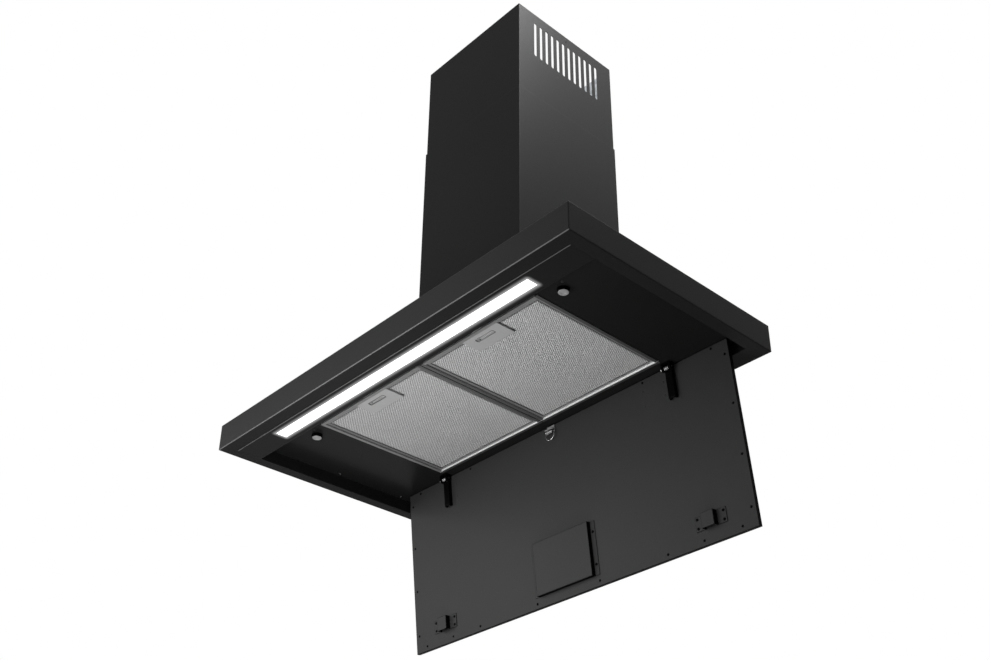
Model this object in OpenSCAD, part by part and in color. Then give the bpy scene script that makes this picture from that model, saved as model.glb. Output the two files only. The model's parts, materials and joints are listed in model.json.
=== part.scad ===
// Wall-mounted chimney range hood with a drop-down suction panel under a flat canopy.
// X runs to the right, Y towards the wall and Z up.
// The origin lies on the wall, midway between the canopy's two lock screws.
// Heights in the modules are measured from the canopy's bottom face.

/* [Canopy] */
// Width of the canopy
canopy_w = 898; // [880:1:1198]
// Depth of the canopy from the wall to its front
canopy_d = 465; // [460:1:520]
// Height of the canopy
canopy_h = 51; // [48:1:70]
// Thickness of the canopy's sheet
sheet_t = 1.2; // [0.8:0.1:1.5]
// Outer radius of the canopy's folds
fold_r = 1.6; // [1.5:0.1:3]
// Width of the lip under the front
front_lip = 27; // [20:1:30]
// Width of the lip under each side
side_lip = 23; // [18:1:24]
// Width of the lip under the rear
rear_lip = 38; // [28:1:40]
// Distance from the canopy's top down to the lock screws
lock_hole_drop = 13; // [10:1:18]
// Distance between the two lock screws
lock_hole_gap = 500; // [300:1:540]
// Diameter of the lock screws' holes
lock_hole_d = 6; // [5:0.5:8]

/* [Recess] */
// Height of the recess's ceiling above the canopy's bottom
ceiling_h = 25; // [24.5:0.5:28]
// Thickness of the liner's sheet
liner_t = 1; // [0.8:0.1:1.2]
// Width of the light plate between the front lip and the recess
light_plate_d = 48; // [44:1:50]
// Width of the liner's flange on the lips
liner_flange = 14; // [8:1:18]
// Diameter of the liner screws' heads
liner_screw_d = 6; // [5:0.5:8]
// Distance between the liner screws on each side
liner_screw_gap = 150.5; // [120:0.5:180]
// Distance from the wall to the rear liner screws
liner_screw_rear = 68.5; // [50:0.5:80]

/* [Light] */
// Distance from the canopy's side to the light's diffuser
led_side = 125.5; // [60:0.5:200]
// Width of the light's diffuser
led_w = 21; // [14:1:24]
// Height of the light's housing
led_housing_h = 15; // [12:1:20]
// Thickness of the diffuser
led_t = 3; // [2.5:0.1:4]

/* [Filters] */
// Distance from the side of the recess to the filters
filter_side = 146; // [142:1:170]
// Distance from the front of the recess to the filters
filter_front_gap = 28; // [24:1:34]
// Distance from the hinge axis to the rear of the filters
filter_rear_gap = 11.5; // [11:0.5:16]
// Thickness of each filter
filter_t = 9; // [8.5:0.5:12]
// Width of the filter's frame
frame_w = 6; // [5:0.5:8]
// Thickness of the frame's sheet
frame_t = 0.8; // [0.6:0.1:1]
// Height of the step in the frame's room side
frame_step = 3; // [2:0.5:3.5]
// Width of the frame's inner flange on the mesh
frame_lip_w = 5.5; // [4:0.5:8]
// Gap between the two filters
filter_gap = 2; // [1.5:0.1:3]
// How far the filters hang below the ceiling
filter_drop = 1.5; // [1:0.1:2]
// Width of the latch plate
latch_w = 82; // [70:1:100]
// Length of the latch plate
latch_l = 39; // [36:1:46]
// Width of the finger slot
finger_w = 41; // [30:1:50]
// Length of the finger slot
finger_l = 8; // [7:0.5:9]
// Travel of the latch's slide
latch_travel = 8; // [7.5:0.5:8.5]
// How far the latch's bolt reaches over the ceiling
bolt_grip = 6; // [4:0.5:6.5]

/* [Suction panel] */
// Gap between each side of the panel and the side of the recess
panel_side_gap = 22; // [16:1:40]
// Gap between the closed panel and the front of the recess
panel_front_gap = 9; // [5:1:14]
// Thickness of the panel
panel_t = 6.8; // [4:0.1:6.9]
// Thickness of the panel's sheets
skin_t = 0.8; // [0.6:0.1:1]
// Width of the rim folded inwards under the inner sheet
rim_w = 16; // [12:1:20]
// Distance from the wall to the hinge axis
hinge_y = 65.5; // [63:0.5:66]
// Distance from the ceiling down to the hinge axis
hinge_drop = 8.8; // [8.4:0.1:9.4]
// Distance from the hinge axis to the panel's hinge edge
hinge_back = 6.5; // [6:0.1:6.8]
// Height of the hinge axis above the panel's inner face
hinge_rise = 9.3; // [9:0.1:9.5]
// Opening angle of the panel, in degrees
open_angle = 96.4; // [80:0.1:98]
// Distance from the side of the panel to each hinge arm
arm_side = 119.5; // [104:0.5:120]
// Length of the hinge arm beyond the hinge axis
arm_l = 56; // [50:1:64]
// Width of the hinge arm
arm_w = 14; // [12:0.5:16]
// Height of the hinge arm above the panel
arm_h = 8; // [7:0.5:9]
// Thickness of the hinge arm's sheet
arm_t = 1.5; // [1.2:0.1:2]
// Diameter of the hinge pins
pin_d = 4; // [3:0.5:4.5]
// Width of the box cover on the panel
box_cover_w = 133; // [110:1:150]
// Length of the box cover
box_cover_l = 96; // [80:1:110]
// Height of the box cover
box_cover_h = 8.5; // [6:0.5:10]
// Width of each flange of the box cover
box_flange_w = 10.5; // [9:0.5:14]
// Distance from the panel's front edge to the box cover
box_cover_front = 19.1; // [14:0.1:60]

/* [Magnetic catches] */
// Distance from the side of the panel to each magnet
magnet_side = 86.4; // [74:0.1:94]
// Distance from the panel's front edge to the magnets
magnet_front = 37.6; // [31:0.1:43]
// Diameter of the magnets
magnet_d = 17; // [14:0.5:22]
// How far the magnets reach below the ceiling
magnet_drop = 7; // [6:0.5:8]
// Width of the strike's foot
strike_foot_w = 62; // [56:1:70]
// Length of the strike's foot
strike_foot_l = 25; // [22:1:30]
// Width of the strike's raised box
strike_w = 25; // [22:1:30]
// Thickness of the strike's sheet
strike_t = 1; // [0.8:0.1:1.2]

/* [Chimney] */
// Width of the lower cover
lower_w = 276; // [270:1:290]
// Depth of the lower cover
lower_d = 265; // [260:1:280]
// Height of the lower cover
lower_l = 575; // [500:1:700]
// Height of the upper cover
upper_l = 540; // [500:1:640]
// Height of the chimney above the canopy
chimney_h = 796; // [790:1:850]
// Thickness of the covers' sheet
cover_t = 1; // [0.8:0.1:1.2]
// Gap between the two covers
cover_gap = 0.5; // [0.4:0.1:0.8]
// Width of each rear flange of the covers
cover_flange = 16; // [12:1:17]
// Number of slots on each side
slots = 12; // [6:1:14]
// Width of a slot
slot_w = 7; // [5:0.5:8]
// Length of a slot
slot_l = 88; // [60:1:110]
// Distance between neighbouring slots
slot_pitch = 15.7; // [12:0.1:16.5]
// Distance from the top of the chimney to the slots
slot_top = 25; // [22:1:40]
// Distance from the top of the chimney to its side screws
top_screw_h = 10.8; // [9:0.1:14]

/* [Blower] */
// Distance from the lower cover's outer side to the blower's box
box_side_gap = 33; // [28:1:38]
// Distance from the wall to the rear of the blower's box
box_rear = 15; // [12:1:18]
// Distance from the lower cover's front to the blower's box
box_front_gap = 25; // [20:1:35]
// Height of the blower's box
box_h = 249; // [240:1:280]
// Outer diameter of the air outlet
outlet_d = 150; // [120:1:160]
// Height of the outlet collar
outlet_h = 60; // [50:1:80]
// Distance from the front and rear of the blower's box to the impeller
impeller_room = 47.5; // [43:0.5:52]
// Width of the impeller
impeller_w = 96; // [80:1:100]
// Number of impeller blades
blades = 32; // [20:1:40]
// Gap between the motor and the inlet ring
motor_gap = 14; // [10:1:18]
// Distance from the side of the blower's box to the hanging holes
hang_side = 15; // [13:1:30]
// Diameter of the hanging holes
hang_hole_d = 8; // [7:0.5:9]

/* [Hidden] */
$fn = 48;

// Colours of the finishes
matt_black = [0.09, 0.09, 0.09];
satin_black = [0.05, 0.05, 0.05];
panel_black = [0.13, 0.13, 0.13];
aluminium = [0.62, 0.62, 0.62];
bright_steel = [0.80, 0.80, 0.82];
zinc = [0.66, 0.67, 0.68];
light_white = [1, 1, 1];
board_green = [0.10, 0.30, 0.16];
dark_plastic = [0.16, 0.16, 0.17];

// Overrun of every cut and the clearances
overrun = 2;
trim_gap = 0.3;
run_gap = 0.05;
slide_gap = 0.3;

// Places that follow from the canopy
lock_hole_h = canopy_h - lock_hole_drop;
recess_x = canopy_w / 2 - side_lip;
recess_front = canopy_d - front_lip - light_plate_d;
liner_x = recess_x + liner_t;
liner_top = ceiling_h + liner_t;
liner_screw_inset = 7;
liner_screws_y = [liner_screw_rear, liner_screw_rear + liner_screw_gap];
plate_x = recess_x - trim_gap;
plate_front = canopy_d - front_lip - trim_gap;
plate_rear = recess_front + liner_t;
plate_t = 1;
plate_riser = 11;
plate_flange = 12;
led_l = canopy_w - 2 * led_side;
led_y = (plate_front + plate_rear) / 2;
led_lip = 2;
led_gap = 0.2;
led_wall = 1;
board_t = 1.6;
board_w = 16;

// Places of the filters
filter_w = recess_x - filter_side - filter_gap / 2;
filter_x = (filter_w + filter_gap) / 2;
opening_gap = 1;
opening_x = filter_w + filter_gap / 2 + opening_gap;
filter_rear = hinge_y + filter_rear_gap;
filter_front = recess_front - filter_front_gap;
opening_rear_gap = 1.5;
opening_front_gap = 2;
opening_rear = filter_rear - opening_rear_gap;
opening_front = filter_front + opening_front_gap;
filter_z = ceiling_h - filter_drop;
filter_top = filter_z + filter_t;
mesh_layers = 3;
mesh_t = 0.8;
mesh_z = filter_z + frame_step + frame_t;
tab_l = 8;
tab_w = 30;
tab_t = 1.2;
tab_lift = 0.2;
tab_inset = 49.5;
tab_x = filter_w / 2 - tab_inset;

// Places of the latches
latch_plate_t = 1;
latch_front = filter_front - frame_w;
latch_rear = latch_front - latch_l;
latch_wall = 1;
latch_h = 6.4;
slide_w = 50;
slide_t = 3;
slide_rise = 0.3;
slide_z = filter_z + latch_plate_t + slide_rise;
bolt_w = 22;
bolt_t = 2;
bolt_z = liner_top + slide_rise;
slide_front = latch_front - trim_gap;
slide_rear = latch_rear + latch_wall + latch_travel + slide_gap;
bolt_tip = opening_front + bolt_grip;
finger_inset = 13;
finger_y = latch_front - finger_inset;
cup_wall = 4;
cup_depth = 2;
spring_wire_d = 0.8;
spring_d = 4;
spring_turns = 7;
spring_x = 16;
spring_z = slide_z + spring_d / 2;

// Places of the panel, drawn closed and turned open about the hinge axis
hinge_h = ceiling_h - hinge_drop;
inner_z = hinge_h - hinge_rise;
outer_z = inner_z - panel_t;
panel_w = 2 * (recess_x - panel_side_gap);
panel_rear = hinge_y - hinge_back;
panel_front = recess_front - panel_front_gap;
panel_l = panel_front - panel_rear;
arm_x = panel_w / 2 - arm_side;
box_cover_y = panel_front - box_cover_front - box_cover_l / 2;
rivet_edge = 9;
top_rivet_edge = 5.5;
rivet_d = 4.5;
rivet_h = 0.8;
rivet_side = 30.5;
rivet_steps = [-5, -4, -3, -1, 1, 3, 4, 5];
rivet_pitch = (panel_w / 2 - rivet_side) / max(rivet_steps);
side_rivets = 4;
side_rivet_first = 26;
side_rivet_last = 33.5;
side_rivet_pitch = (panel_l - side_rivet_first - side_rivet_last) / (side_rivets - 1);
top_rivet_shares = [0.547, 0.916];
skin_gap = 0.1;

// Places of the hinges
ear_t = 2;
ear_r = 6;
ear_base_t = 1.5;
ear_base_l = 14;
arm_gap = 0.4;
arm_ear_x = arm_w / 2 + arm_gap;
ear_out_x = arm_ear_x + ear_t;
arm_eye_r = 5.5;
arm_rear = 4;
pin_head_d = 8;
pin_head_t = 2.2;
pin_end = 1;
coil_wire_d = 1.8;
coil_d = 7.6;
coil_turns = 3;

// Places of the magnets and strikes
magnet_x = panel_w / 2 - magnet_side;
magnet_y = panel_front - magnet_front;
holder_wall = 1.2;
holder_step = 0.5;
magnet_fit = 0.1;
catch_gap = 0.3;
strike_h = ceiling_h - magnet_drop - catch_gap - inner_z;
strike_screw_inset = 5;
strike_screw_x = strike_foot_w / 2 - strike_screw_inset;
strike_screw_y = strike_foot_l / 2 - strike_screw_inset;
cover_screw_share = 0.3;
screw_head_d = 5;
screw_head_h = 1.2;

// Places of the centre ring on the panel
tab_width = 18;
tab_s = 10;
tab_sheet = 1.2;
bush_d = 8.5;
bush_l = 15;
bush_flat = 0.5;
bush_rise = 4.5;
bush_s = tab_s + bush_d / 2 - bush_flat;
bail_wire_d = 1.8;
bail_r = 11;
bail_drop = 5;
bail_grip = 2.5;
bail_pin_l = bail_r - bush_l / 2 + bail_grip;

// Places of the chimney
upper_w = lower_w - 2 * cover_t - 2 * cover_gap;
upper_rear = cover_t + cover_gap;
upper_d = lower_d - cover_t - cover_gap;
chimney_top = canopy_h + chimney_h;
lower_top = canopy_h + lower_l;
upper_bottom = chimney_top - upper_l;
slot_mid = -lower_d / 2;
cover_r = 1.6;
screw_d = 4;
bracket_plate_h = 60;
bracket_t = 1.5;
bracket_end = 17.5;
bracket_reach = bracket_end - slot_mid;
bracket_arm_h = 18;
bracket_boss_d = 16;
bracket_hole_d = 5.5;
angle_h = 24;
angle_l = 60;
angle_t = 1.5;
angle_foot = 15;

// Places of the blower
box_t = 1;
box_foot = 12;
box_x = lower_w / 2 - box_side_gap;
box_d = lower_d - box_rear - box_front_gap;
box_front = box_rear + box_d;
box_mid = box_rear + box_d / 2;
box_top = canopy_h + box_h;
air_margin = 6;
impeller_d = box_d - 2 * impeller_room;
scroll_gap = 8;
scroll_growth = 22;
scroll_foot = 17;
wheel_rise = impeller_d / 2 + scroll_gap + scroll_growth + scroll_foot;
wheel_h = canopy_h + wheel_rise;
shaft_d = 8;
hub_d = 24;
blade_t = 1;
blade_depth = 13;
blade_points = 5;
blade_inset = 0.6;
blade_lean_share = 0.55;
disc_t = 2;
end_ring_t = 2;
scroll_points = 32;
scroll_turn = 280;
tongue_angle = 100;
inlet_t = 1.2;
inlet_lip = 7;
inlet_gap = 1;
inlet_run = 5;
inlet_d = impeller_d - 2 * blade_depth + 2 * inlet_gap;
scroll_x = impeller_w / 2 + inlet_lip + inlet_run;
motor_d = inlet_d - 2 * motor_gap;
motor_l = 72;
motor_arm_w = 14;
motor_arm_t = 2;
collar_t = 1.2;
collar_flange = 8;
flap_t = 1;
flap_gap = 1.2;
flap_sleeve_r = 2.8;
flap_pin_d = 3;
flap_h = 18;
flap_knuckle = 28;
knuckle_gap = 0.3;
flap_z = box_top + flap_h;
flap_notch = 3.4;
controls_l = 92;
controls_h = 110;
controls_d = 22;
controls_rise = 120;
controls_z = canopy_h + controls_rise;
controls_y = 130;
box_wall = 2;
gland_d = 16;
gland_l = 20;
gland_bore_d = 8;
hang_gap = 2 * (box_x - hang_side);
hang_drop = 39;
hang_h = box_top - hang_drop;
hang_plate_w = 24;
hang_plate_h = 60;
hang_t = 2.5;
adjuster_d = 6;
adjuster_l = 34;
adjuster_head_d = 10;
adjuster_head_h = 4;

// Moves heights from the canopy's bottom to the height of the lock screws
module at_wall() translate([0, 0, -lock_hole_h]) children();

// Turns the closed panel open about its hinge axis
module opened()
    at_wall()
        translate([0, -hinge_y, hinge_h])
            rotate([open_angle, 0, 0])
                translate([0, hinge_y, -hinge_h])
                    children();

// Block between two corners
module slab(low, high) translate(low) cube(high - low);

// Round bar along X between two places
module bar_x(x0, x1, d) translate([x0, 0, 0]) rotate([0, 90, 0]) cylinder(h = x1 - x0, d = d);

// Round bar along Y, from its front end to its rear end
module bar_y(y0, y1, d) translate([0, y0, 0]) rotate([-90, 0, 0]) cylinder(h = y1 - y0, d = d);

// Rectangle with round corners
module round_rect(a, b, r) {
    square([a, b - 2 * r], center = true);
    square([a - 2 * r, b], center = true);
    for (x = [-1, 1], y = [-1, 1])
        translate([x * (a / 2 - r), y * (b / 2 - r)])
            circle(r = r);
}

// Box against the wall with all its edges folded round
module folded_box(w, d, h, r)
    intersection() {
        translate([0, 0, h / 2]) rotate([90, 0, 0]) linear_extrude(d) round_rect(w, h, r);
        translate([-w / 2, -d / 2, h / 2]) rotate([90, 0, 90]) linear_extrude(w) round_rect(d, h, r);
        translate([0, -d / 2, 0]) linear_extrude(h) round_rect(w, d, r);
    }

// Points of a wire's section round one place on its path
function wire_ring(c, u, v, r, sides) =
    [for (k = [0:sides - 1]) c + r * cos(360 * k / sides) * u + r * sin(360 * k / sides) * v];

// Coil spring along X, as one unbroken tube
module coil(mean_d, wire_d, turns, length) {
    steps = 8;
    sides = 6;
    count = steps * turns;
    pitch = (length - wire_d) / turns;
    points = [
        for (i = [0:count])
            let (a = 360 * i / steps, out = [0, cos(a), sin(a)])
            each wire_ring([wire_d / 2 + pitch * i / steps, 0, 0] + mean_d / 2 * out,
                out, [1, 0, 0], wire_d / 2, sides)
    ];
    walls = [
        for (i = [0:count - 1], k = [0:sides - 1])
            let (a = i * sides + k, b = i * sides + (k + 1) % sides, c = b + sides, d = a + sides)
            each [[a, b, c], [a, c, d]]
    ];
    first = [for (k = [1:sides - 2]) [0, k + 1, k]];
    last = [for (k = [1:sides - 2]) [count * sides, count * sides + k, count * sides + k + 1]];
    polyhedron(concat(points), concat(walls, first, last));
}

// Pan-head screw that stands on a face, with its head up
module screw(head_d, head_h, shank_d, shank_l) {
    cylinder(h = head_h, d = head_d);
    translate([0, 0, -shank_l]) cylinder(h = shank_l, d = shank_d);
}

module canopy_shell()
    color(matt_black) at_wall() difference() {
        folded_box(canopy_w, canopy_d, canopy_h, fold_r);
        slab([-canopy_w / 2 + sheet_t, -canopy_d + sheet_t, sheet_t],
            [canopy_w / 2 - sheet_t, -sheet_t, canopy_h - sheet_t]);
        slab([-recess_x, -canopy_d + front_lip, -overrun], [recess_x, -rear_lip, sheet_t + overrun]);
        slab([-box_x + air_margin, -box_front + air_margin, canopy_h - sheet_t - overrun],
            [box_x - air_margin, -box_rear - air_margin, canopy_h + overrun]);
        for (side = [-1, 1])
            translate([side * lock_hole_gap / 2, 0, lock_hole_h])
                bar_y(-sheet_t - overrun, overrun, lock_hole_d);
    }

module recess_liner()
    color(satin_black) at_wall() {
        difference() {
            slab([-liner_x, -plate_rear, sheet_t], [liner_x, -rear_lip + liner_t, liner_top]);
            slab([-recess_x, -recess_front, sheet_t - overrun], [recess_x, -rear_lip, ceiling_h]);
            slab([-opening_x, -opening_front, ceiling_h - overrun],
                [opening_x, -opening_rear, liner_top + overrun]);
        }
        slab([-plate_x, -plate_rear, 0], [plate_x, -recess_front, sheet_t]);
        for (side = [-1, 1])
            slab([side * (recess_x + liner_flange / 2) - liner_flange / 2, -recess_front, sheet_t],
                [side * (recess_x + liner_flange / 2) + liner_flange / 2, -rear_lip, sheet_t + liner_t]);
        slab([-recess_x, -rear_lip, sheet_t], [recess_x, -rear_lip + liner_flange, sheet_t + liner_t]);
    }

// Screws through the liner's ceiling, heads inside the recess
module liner_screws()
    color(zinc) at_wall()
        for (side = [-1, 1], y = liner_screws_y)
            translate([side * (recess_x - liner_screw_inset), -y, ceiling_h - screw_head_h])
                cylinder(h = screw_head_h, d = liner_screw_d);

module light_plate()
    color(satin_black) at_wall() difference() {
        union() {
            slab([-plate_x, -plate_front, 0], [plate_x, -plate_rear, plate_t]);
            slab([-plate_x, -plate_front, 0], [plate_x, -plate_front + plate_t, sheet_t + plate_t]);
            slab([-plate_x, -plate_front - plate_flange, sheet_t],
                [plate_x, -plate_front + plate_t, sheet_t + plate_t]);
            slab([-plate_x, -plate_rear - plate_t, 0], [plate_x, -plate_rear, plate_riser]);
        }
        slab([-led_l / 2 - led_gap, -led_y - led_w / 2 - led_gap, -overrun],
            [led_l / 2 + led_gap, -led_y + led_w / 2 + led_gap, plate_t + overrun]);
    }

module led_diffuser()
    color(light_white) at_wall() {
        slab([-led_l / 2, -led_y - led_w / 2, led_gap], [led_l / 2, -led_y + led_w / 2, plate_t]);
        slab([-led_l / 2 - led_lip, -led_y - led_w / 2 - led_lip, plate_t],
            [led_l / 2 + led_lip, -led_y + led_w / 2 + led_lip, led_t]);
    }

module led_housing() {
    half_w = led_w / 2 + led_lip + led_gap;
    half_l = led_l / 2 + led_lip + led_gap;
    color(aluminium) at_wall() difference() {
        slab([-half_l - led_wall, -led_y - half_w - led_wall, plate_t],
            [half_l + led_wall, -led_y + half_w + led_wall, plate_t + led_housing_h]);
        slab([-half_l, -led_y - half_w, plate_t - overrun],
            [half_l, -led_y + half_w, plate_t + led_housing_h - led_wall]);
    }
}

module led_board()
    color(board_green) at_wall()
        slab([-led_l / 2, -led_y - board_w / 2, plate_t + led_housing_h - led_wall - board_t],
            [led_l / 2, -led_y + board_w / 2, plate_t + led_housing_h - led_wall]);

// Cups that hold the magnets under the ceiling
module magnet_holders()
    color(dark_plastic) at_wall()
        for (side = [-1, 1])
            translate([side * magnet_x, -magnet_y, ceiling_h - magnet_drop + holder_step])
                difference() {
                    cylinder(h = magnet_drop - holder_step, d = magnet_d + 2 * holder_wall);
                    translate([0, 0, -overrun])
                        cylinder(h = magnet_drop - holder_step - holder_wall + overrun,
                            d = magnet_d + 2 * magnet_fit);
                }

module catch_magnets()
    color(bright_steel) at_wall()
        for (side = [-1, 1])
            translate([side * magnet_x, -magnet_y, ceiling_h - magnet_drop])
                cylinder(h = magnet_drop - holder_wall, d = magnet_d);

// Ear of a hinge bracket, between the ceiling and the pin
module hinge_ear(x0)
    translate([x0, 0, 0]) difference() {
        union() {
            translate([0, -hinge_y, hinge_h]) bar_x(0, ear_t, 2 * ear_r);
            slab([0, -hinge_y - ear_r, hinge_h], [ear_t, -hinge_y + ear_r, ceiling_h]);
        }
        translate([0, -hinge_y, hinge_h]) bar_x(-overrun, ear_t + overrun, pin_d + 2 * run_gap);
    }

module hinge_brackets()
    color(satin_black) at_wall()
        for (side = [-1, 1])
            translate([side * arm_x, 0, 0]) {
                hinge_ear(arm_ear_x);
                hinge_ear(-ear_out_x);
                slab([-ear_out_x, -hinge_y - ear_r, ceiling_h - ear_base_t],
                    [ear_out_x, -hinge_y - ear_r + ear_base_l, ceiling_h]);
            }

module hinge_pins()
    color(bright_steel) at_wall()
        for (side = [-1, 1])
            translate([side * arm_x, -hinge_y, hinge_h]) {
                bar_x(-ear_out_x - run_gap, ear_out_x + pin_end, pin_d);
                bar_x(-ear_out_x - run_gap - pin_head_t, -ear_out_x - run_gap, pin_head_d);
            }

// Springs between the cheeks of the hinge arms
module hinge_springs() {
    coil_l = arm_w - 2 * arm_t - 2 * trim_gap;
    color(bright_steel) at_wall()
        for (side = [-1, 1])
            translate([side * arm_x - coil_l / 2, -hinge_y, hinge_h])
                coil(coil_d, coil_wire_d, coil_turns, coil_l);
}

// Sheet-metal box over the air opening
module blower_box()
    color(zinc) at_wall() difference() {
        union() {
            slab([-box_x, -box_front, canopy_h], [box_x, -box_rear, box_top]);
            slab([-box_x - box_foot, -box_front - box_foot, canopy_h],
                [box_x + box_foot, -box_rear, canopy_h + box_t]);
        }
        slab([-box_x + box_t, -box_front + box_t, canopy_h - overrun],
            [box_x - box_t, -box_rear - box_t, box_top - box_t]);
        translate([0, -box_mid, box_top - box_t - overrun])
            cylinder(h = box_t + 2 * overrun, d = outlet_d - 2 * collar_t);
        for (side = [-1, 1])
            translate([side * hang_gap / 2, 0, hang_h])
                bar_y(-box_rear - box_t - overrun, -box_rear + overrun, 2 * hang_hole_d);
    }

// Radius of the scroll's wall at an angle
function scroll_r(a) = impeller_d / 2 + scroll_gap + scroll_growth * a / 360;

// Outline of the scroll, from its tongue round to the side of its outlet and up to the box's top
function scroll_line(extra, rise) =
    concat(
        [for (i = [0:scroll_points]) let (a = scroll_turn * i / scroll_points)
            (scroll_r(a) + extra) * [cos(tongue_angle - a), sin(tongue_angle - a)]],
        [[-scroll_r(scroll_turn) - extra, rise], [scroll_r(0) * cos(tongue_angle) + extra, rise]]);

module scroll_casing()
    color(zinc) at_wall()
        translate([-scroll_x, -box_mid, wheel_h])
            rotate([90, 0, 90]) {
                rise = box_h - wheel_rise - box_t;
                difference() {
                    linear_extrude(2 * scroll_x) polygon(scroll_line(box_t, rise));
                    translate([0, 0, box_t])
                        linear_extrude(2 * scroll_x - 2 * box_t) polygon(scroll_line(0, rise + overrun));
                    translate([0, 0, -overrun])
                        cylinder(h = 2 * scroll_x + 2 * overrun, d = inlet_d + 2 * inlet_lip);
                }
            }

module inlet_rings()
    color(dark_plastic) at_wall()
        for (side = [-1, 1])
            translate([side * scroll_x, -box_mid, wheel_h])
                rotate([0, side * 90, 0])
                    rotate_extrude()
                        translate([inlet_d / 2, 0]) {
                            square([3 * inlet_lip, inlet_t]);
                            translate([0, -inlet_lip]) square([inlet_t, inlet_lip + inlet_t]);
                        }

module blower_motor()
    color(zinc) at_wall()
        translate([0, -box_mid, wheel_h]) difference() {
            bar_x(-disc_t - motor_l, -disc_t - hub_d / 2, motor_d);
            bar_x(-disc_t - motor_l / 2, 0, shaft_d + 4 * run_gap);
        }

// Three arms behind the motor, with legs to the inlet ring
module motor_bracket() {
    arm_end = inlet_d / 2 + 2 * inlet_lip;
    leg_l = disc_t + motor_l - scroll_x - inlet_t;
    color(zinc) at_wall()
        translate([-disc_t - motor_l, -box_mid, wheel_h])
            for (a = [90, 210, 330])
                rotate([a, 0, 0]) {
                    slab([-motor_arm_t, 0, -motor_arm_w / 2], [0, arm_end, motor_arm_w / 2]);
                    slab([-motor_arm_t, arm_end - motor_arm_t, -motor_arm_w / 2],
                        [leg_l, arm_end, motor_arm_w / 2]);
                }
}

module outlet_collar()
    color(dark_plastic) at_wall()
        translate([0, -box_mid, box_top]) difference() {
            union() {
                cylinder(h = outlet_h, d = outlet_d);
                cylinder(h = collar_t, d = outlet_d + 2 * collar_flange);
            }
            translate([0, 0, -overrun])
                cylinder(h = outlet_h + 2 * overrun, d = outlet_d - 2 * collar_t);
            translate([0, 0, flap_h]) bar_x(-outlet_d, outlet_d, flap_pin_d + 2 * run_gap);
        }

module flap_pin()
    color(bright_steel) at_wall()
        translate([0, -box_mid, flap_z])
            bar_x(-outlet_d / 2, outlet_d / 2, flap_pin_d);

module control_box()
    color(dark_plastic) at_wall() difference() {
        slab([box_x, -controls_y - controls_l / 2, controls_z],
            [box_x + controls_d, -controls_y + controls_l / 2, controls_z + controls_h]);
        slab([box_x + box_wall, -controls_y - controls_l / 2 + box_wall, controls_z + box_wall],
            [box_x + controls_d - box_wall, -controls_y + controls_l / 2 - box_wall,
                controls_z + controls_h - box_wall]);
        translate([box_x + controls_d / 2, -controls_y, controls_z + controls_h - box_wall - overrun])
            cylinder(h = box_wall + 2 * overrun, d = gland_d - 2 * box_wall);
    }

module circuit_board()
    color(board_green) at_wall()
        slab([box_x + box_wall, -controls_y - controls_l / 2 + 2 * box_wall, controls_z + 2 * box_wall],
            [box_x + box_wall + board_t, -controls_y + controls_l / 2 - 2 * box_wall,
                controls_z + controls_h - 2 * box_wall]);

module cable_gland()
    color(dark_plastic) at_wall()
        translate([box_x + controls_d / 2, -controls_y, controls_z + controls_h])
            difference() {
                cylinder(h = gland_l, d = gland_d);
                translate([0, 0, -overrun]) cylinder(h = gland_l + 2 * overrun, d = gland_bore_d);
            }

module wall_brackets()
    color(zinc) at_wall()
        for (side = [-1, 1])
            translate([side * hang_gap / 2, 0, hang_h]) difference() {
                union() {
                    slab([-hang_plate_w / 2, -hang_t, -hang_plate_h / 2],
                        [hang_plate_w / 2, 0, hang_plate_h / 2]);
                    for (end = [-1, 1])
                        translate([0, 0, end * (hang_plate_h - hang_t) / 2])
                            slab([-hang_plate_w / 2, -box_rear, -hang_t / 2],
                                [hang_plate_w / 2, 0, hang_t / 2]);
                }
                bar_y(-hang_t - overrun, overrun, hang_hole_d);
                translate([0, -box_rear / 2, 0])
                    cylinder(h = hang_plate_h, d = adjuster_d + 2 * run_gap);
            }

module adjusting_screws()
    color(zinc) at_wall()
        for (side = [-1, 1])
            translate([side * hang_gap / 2, -box_rear / 2, hang_h + hang_plate_h / 2])
                screw(adjuster_head_d, adjuster_head_h, adjuster_d, adjuster_l / 2);

// Plan of a cover's outside, with its front corners folded round
module cover_plan(w, front, rear, r) {
    translate([-w / 2, -front + r]) square([w, front - rear - r]);
    translate([-w / 2 + r, -front]) square([w - 2 * r, front - rear]);
    for (side = [-1, 1])
        translate([side * (w / 2 - r), -front + r])
            circle(r = r);
}

// Three-sided cover with two flanges folded in at the wall
module cover(w, front, rear, bottom, top)
    difference() {
        translate([0, 0, bottom]) linear_extrude(top - bottom) cover_plan(w, front, rear, cover_r);
        translate([0, 0, bottom - overrun])
            linear_extrude(top - bottom + 2 * overrun)
                cover_plan(w - 2 * cover_t, front - cover_t, rear + cover_t, cover_r - cover_t);
        slab([-w / 2 + cover_flange, -rear - cover_t - overrun, bottom - overrun],
            [w / 2 - cover_flange, -rear + overrun, top + overrun]);
    }

module lower_chimney()
    color(matt_black) at_wall()
        cover(lower_w, lower_d, 0, canopy_h, lower_top);

module chimney_angles()
    color(zinc) at_wall()
        for (side = [-1, 1]) {
            wall_x = side * (lower_w / 2 - cover_t - angle_t / 2);
            foot_x = side * (lower_w / 2 - cover_t - angle_foot / 2);
            slab([wall_x - angle_t / 2, slot_mid - angle_l / 2, canopy_h],
                [wall_x + angle_t / 2, slot_mid + angle_l / 2, canopy_h + angle_h]);
            slab([foot_x - angle_foot / 2, slot_mid - angle_l / 2, canopy_h],
                [foot_x + angle_foot / 2, slot_mid + angle_l / 2, canopy_h + angle_t]);
        }

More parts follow.
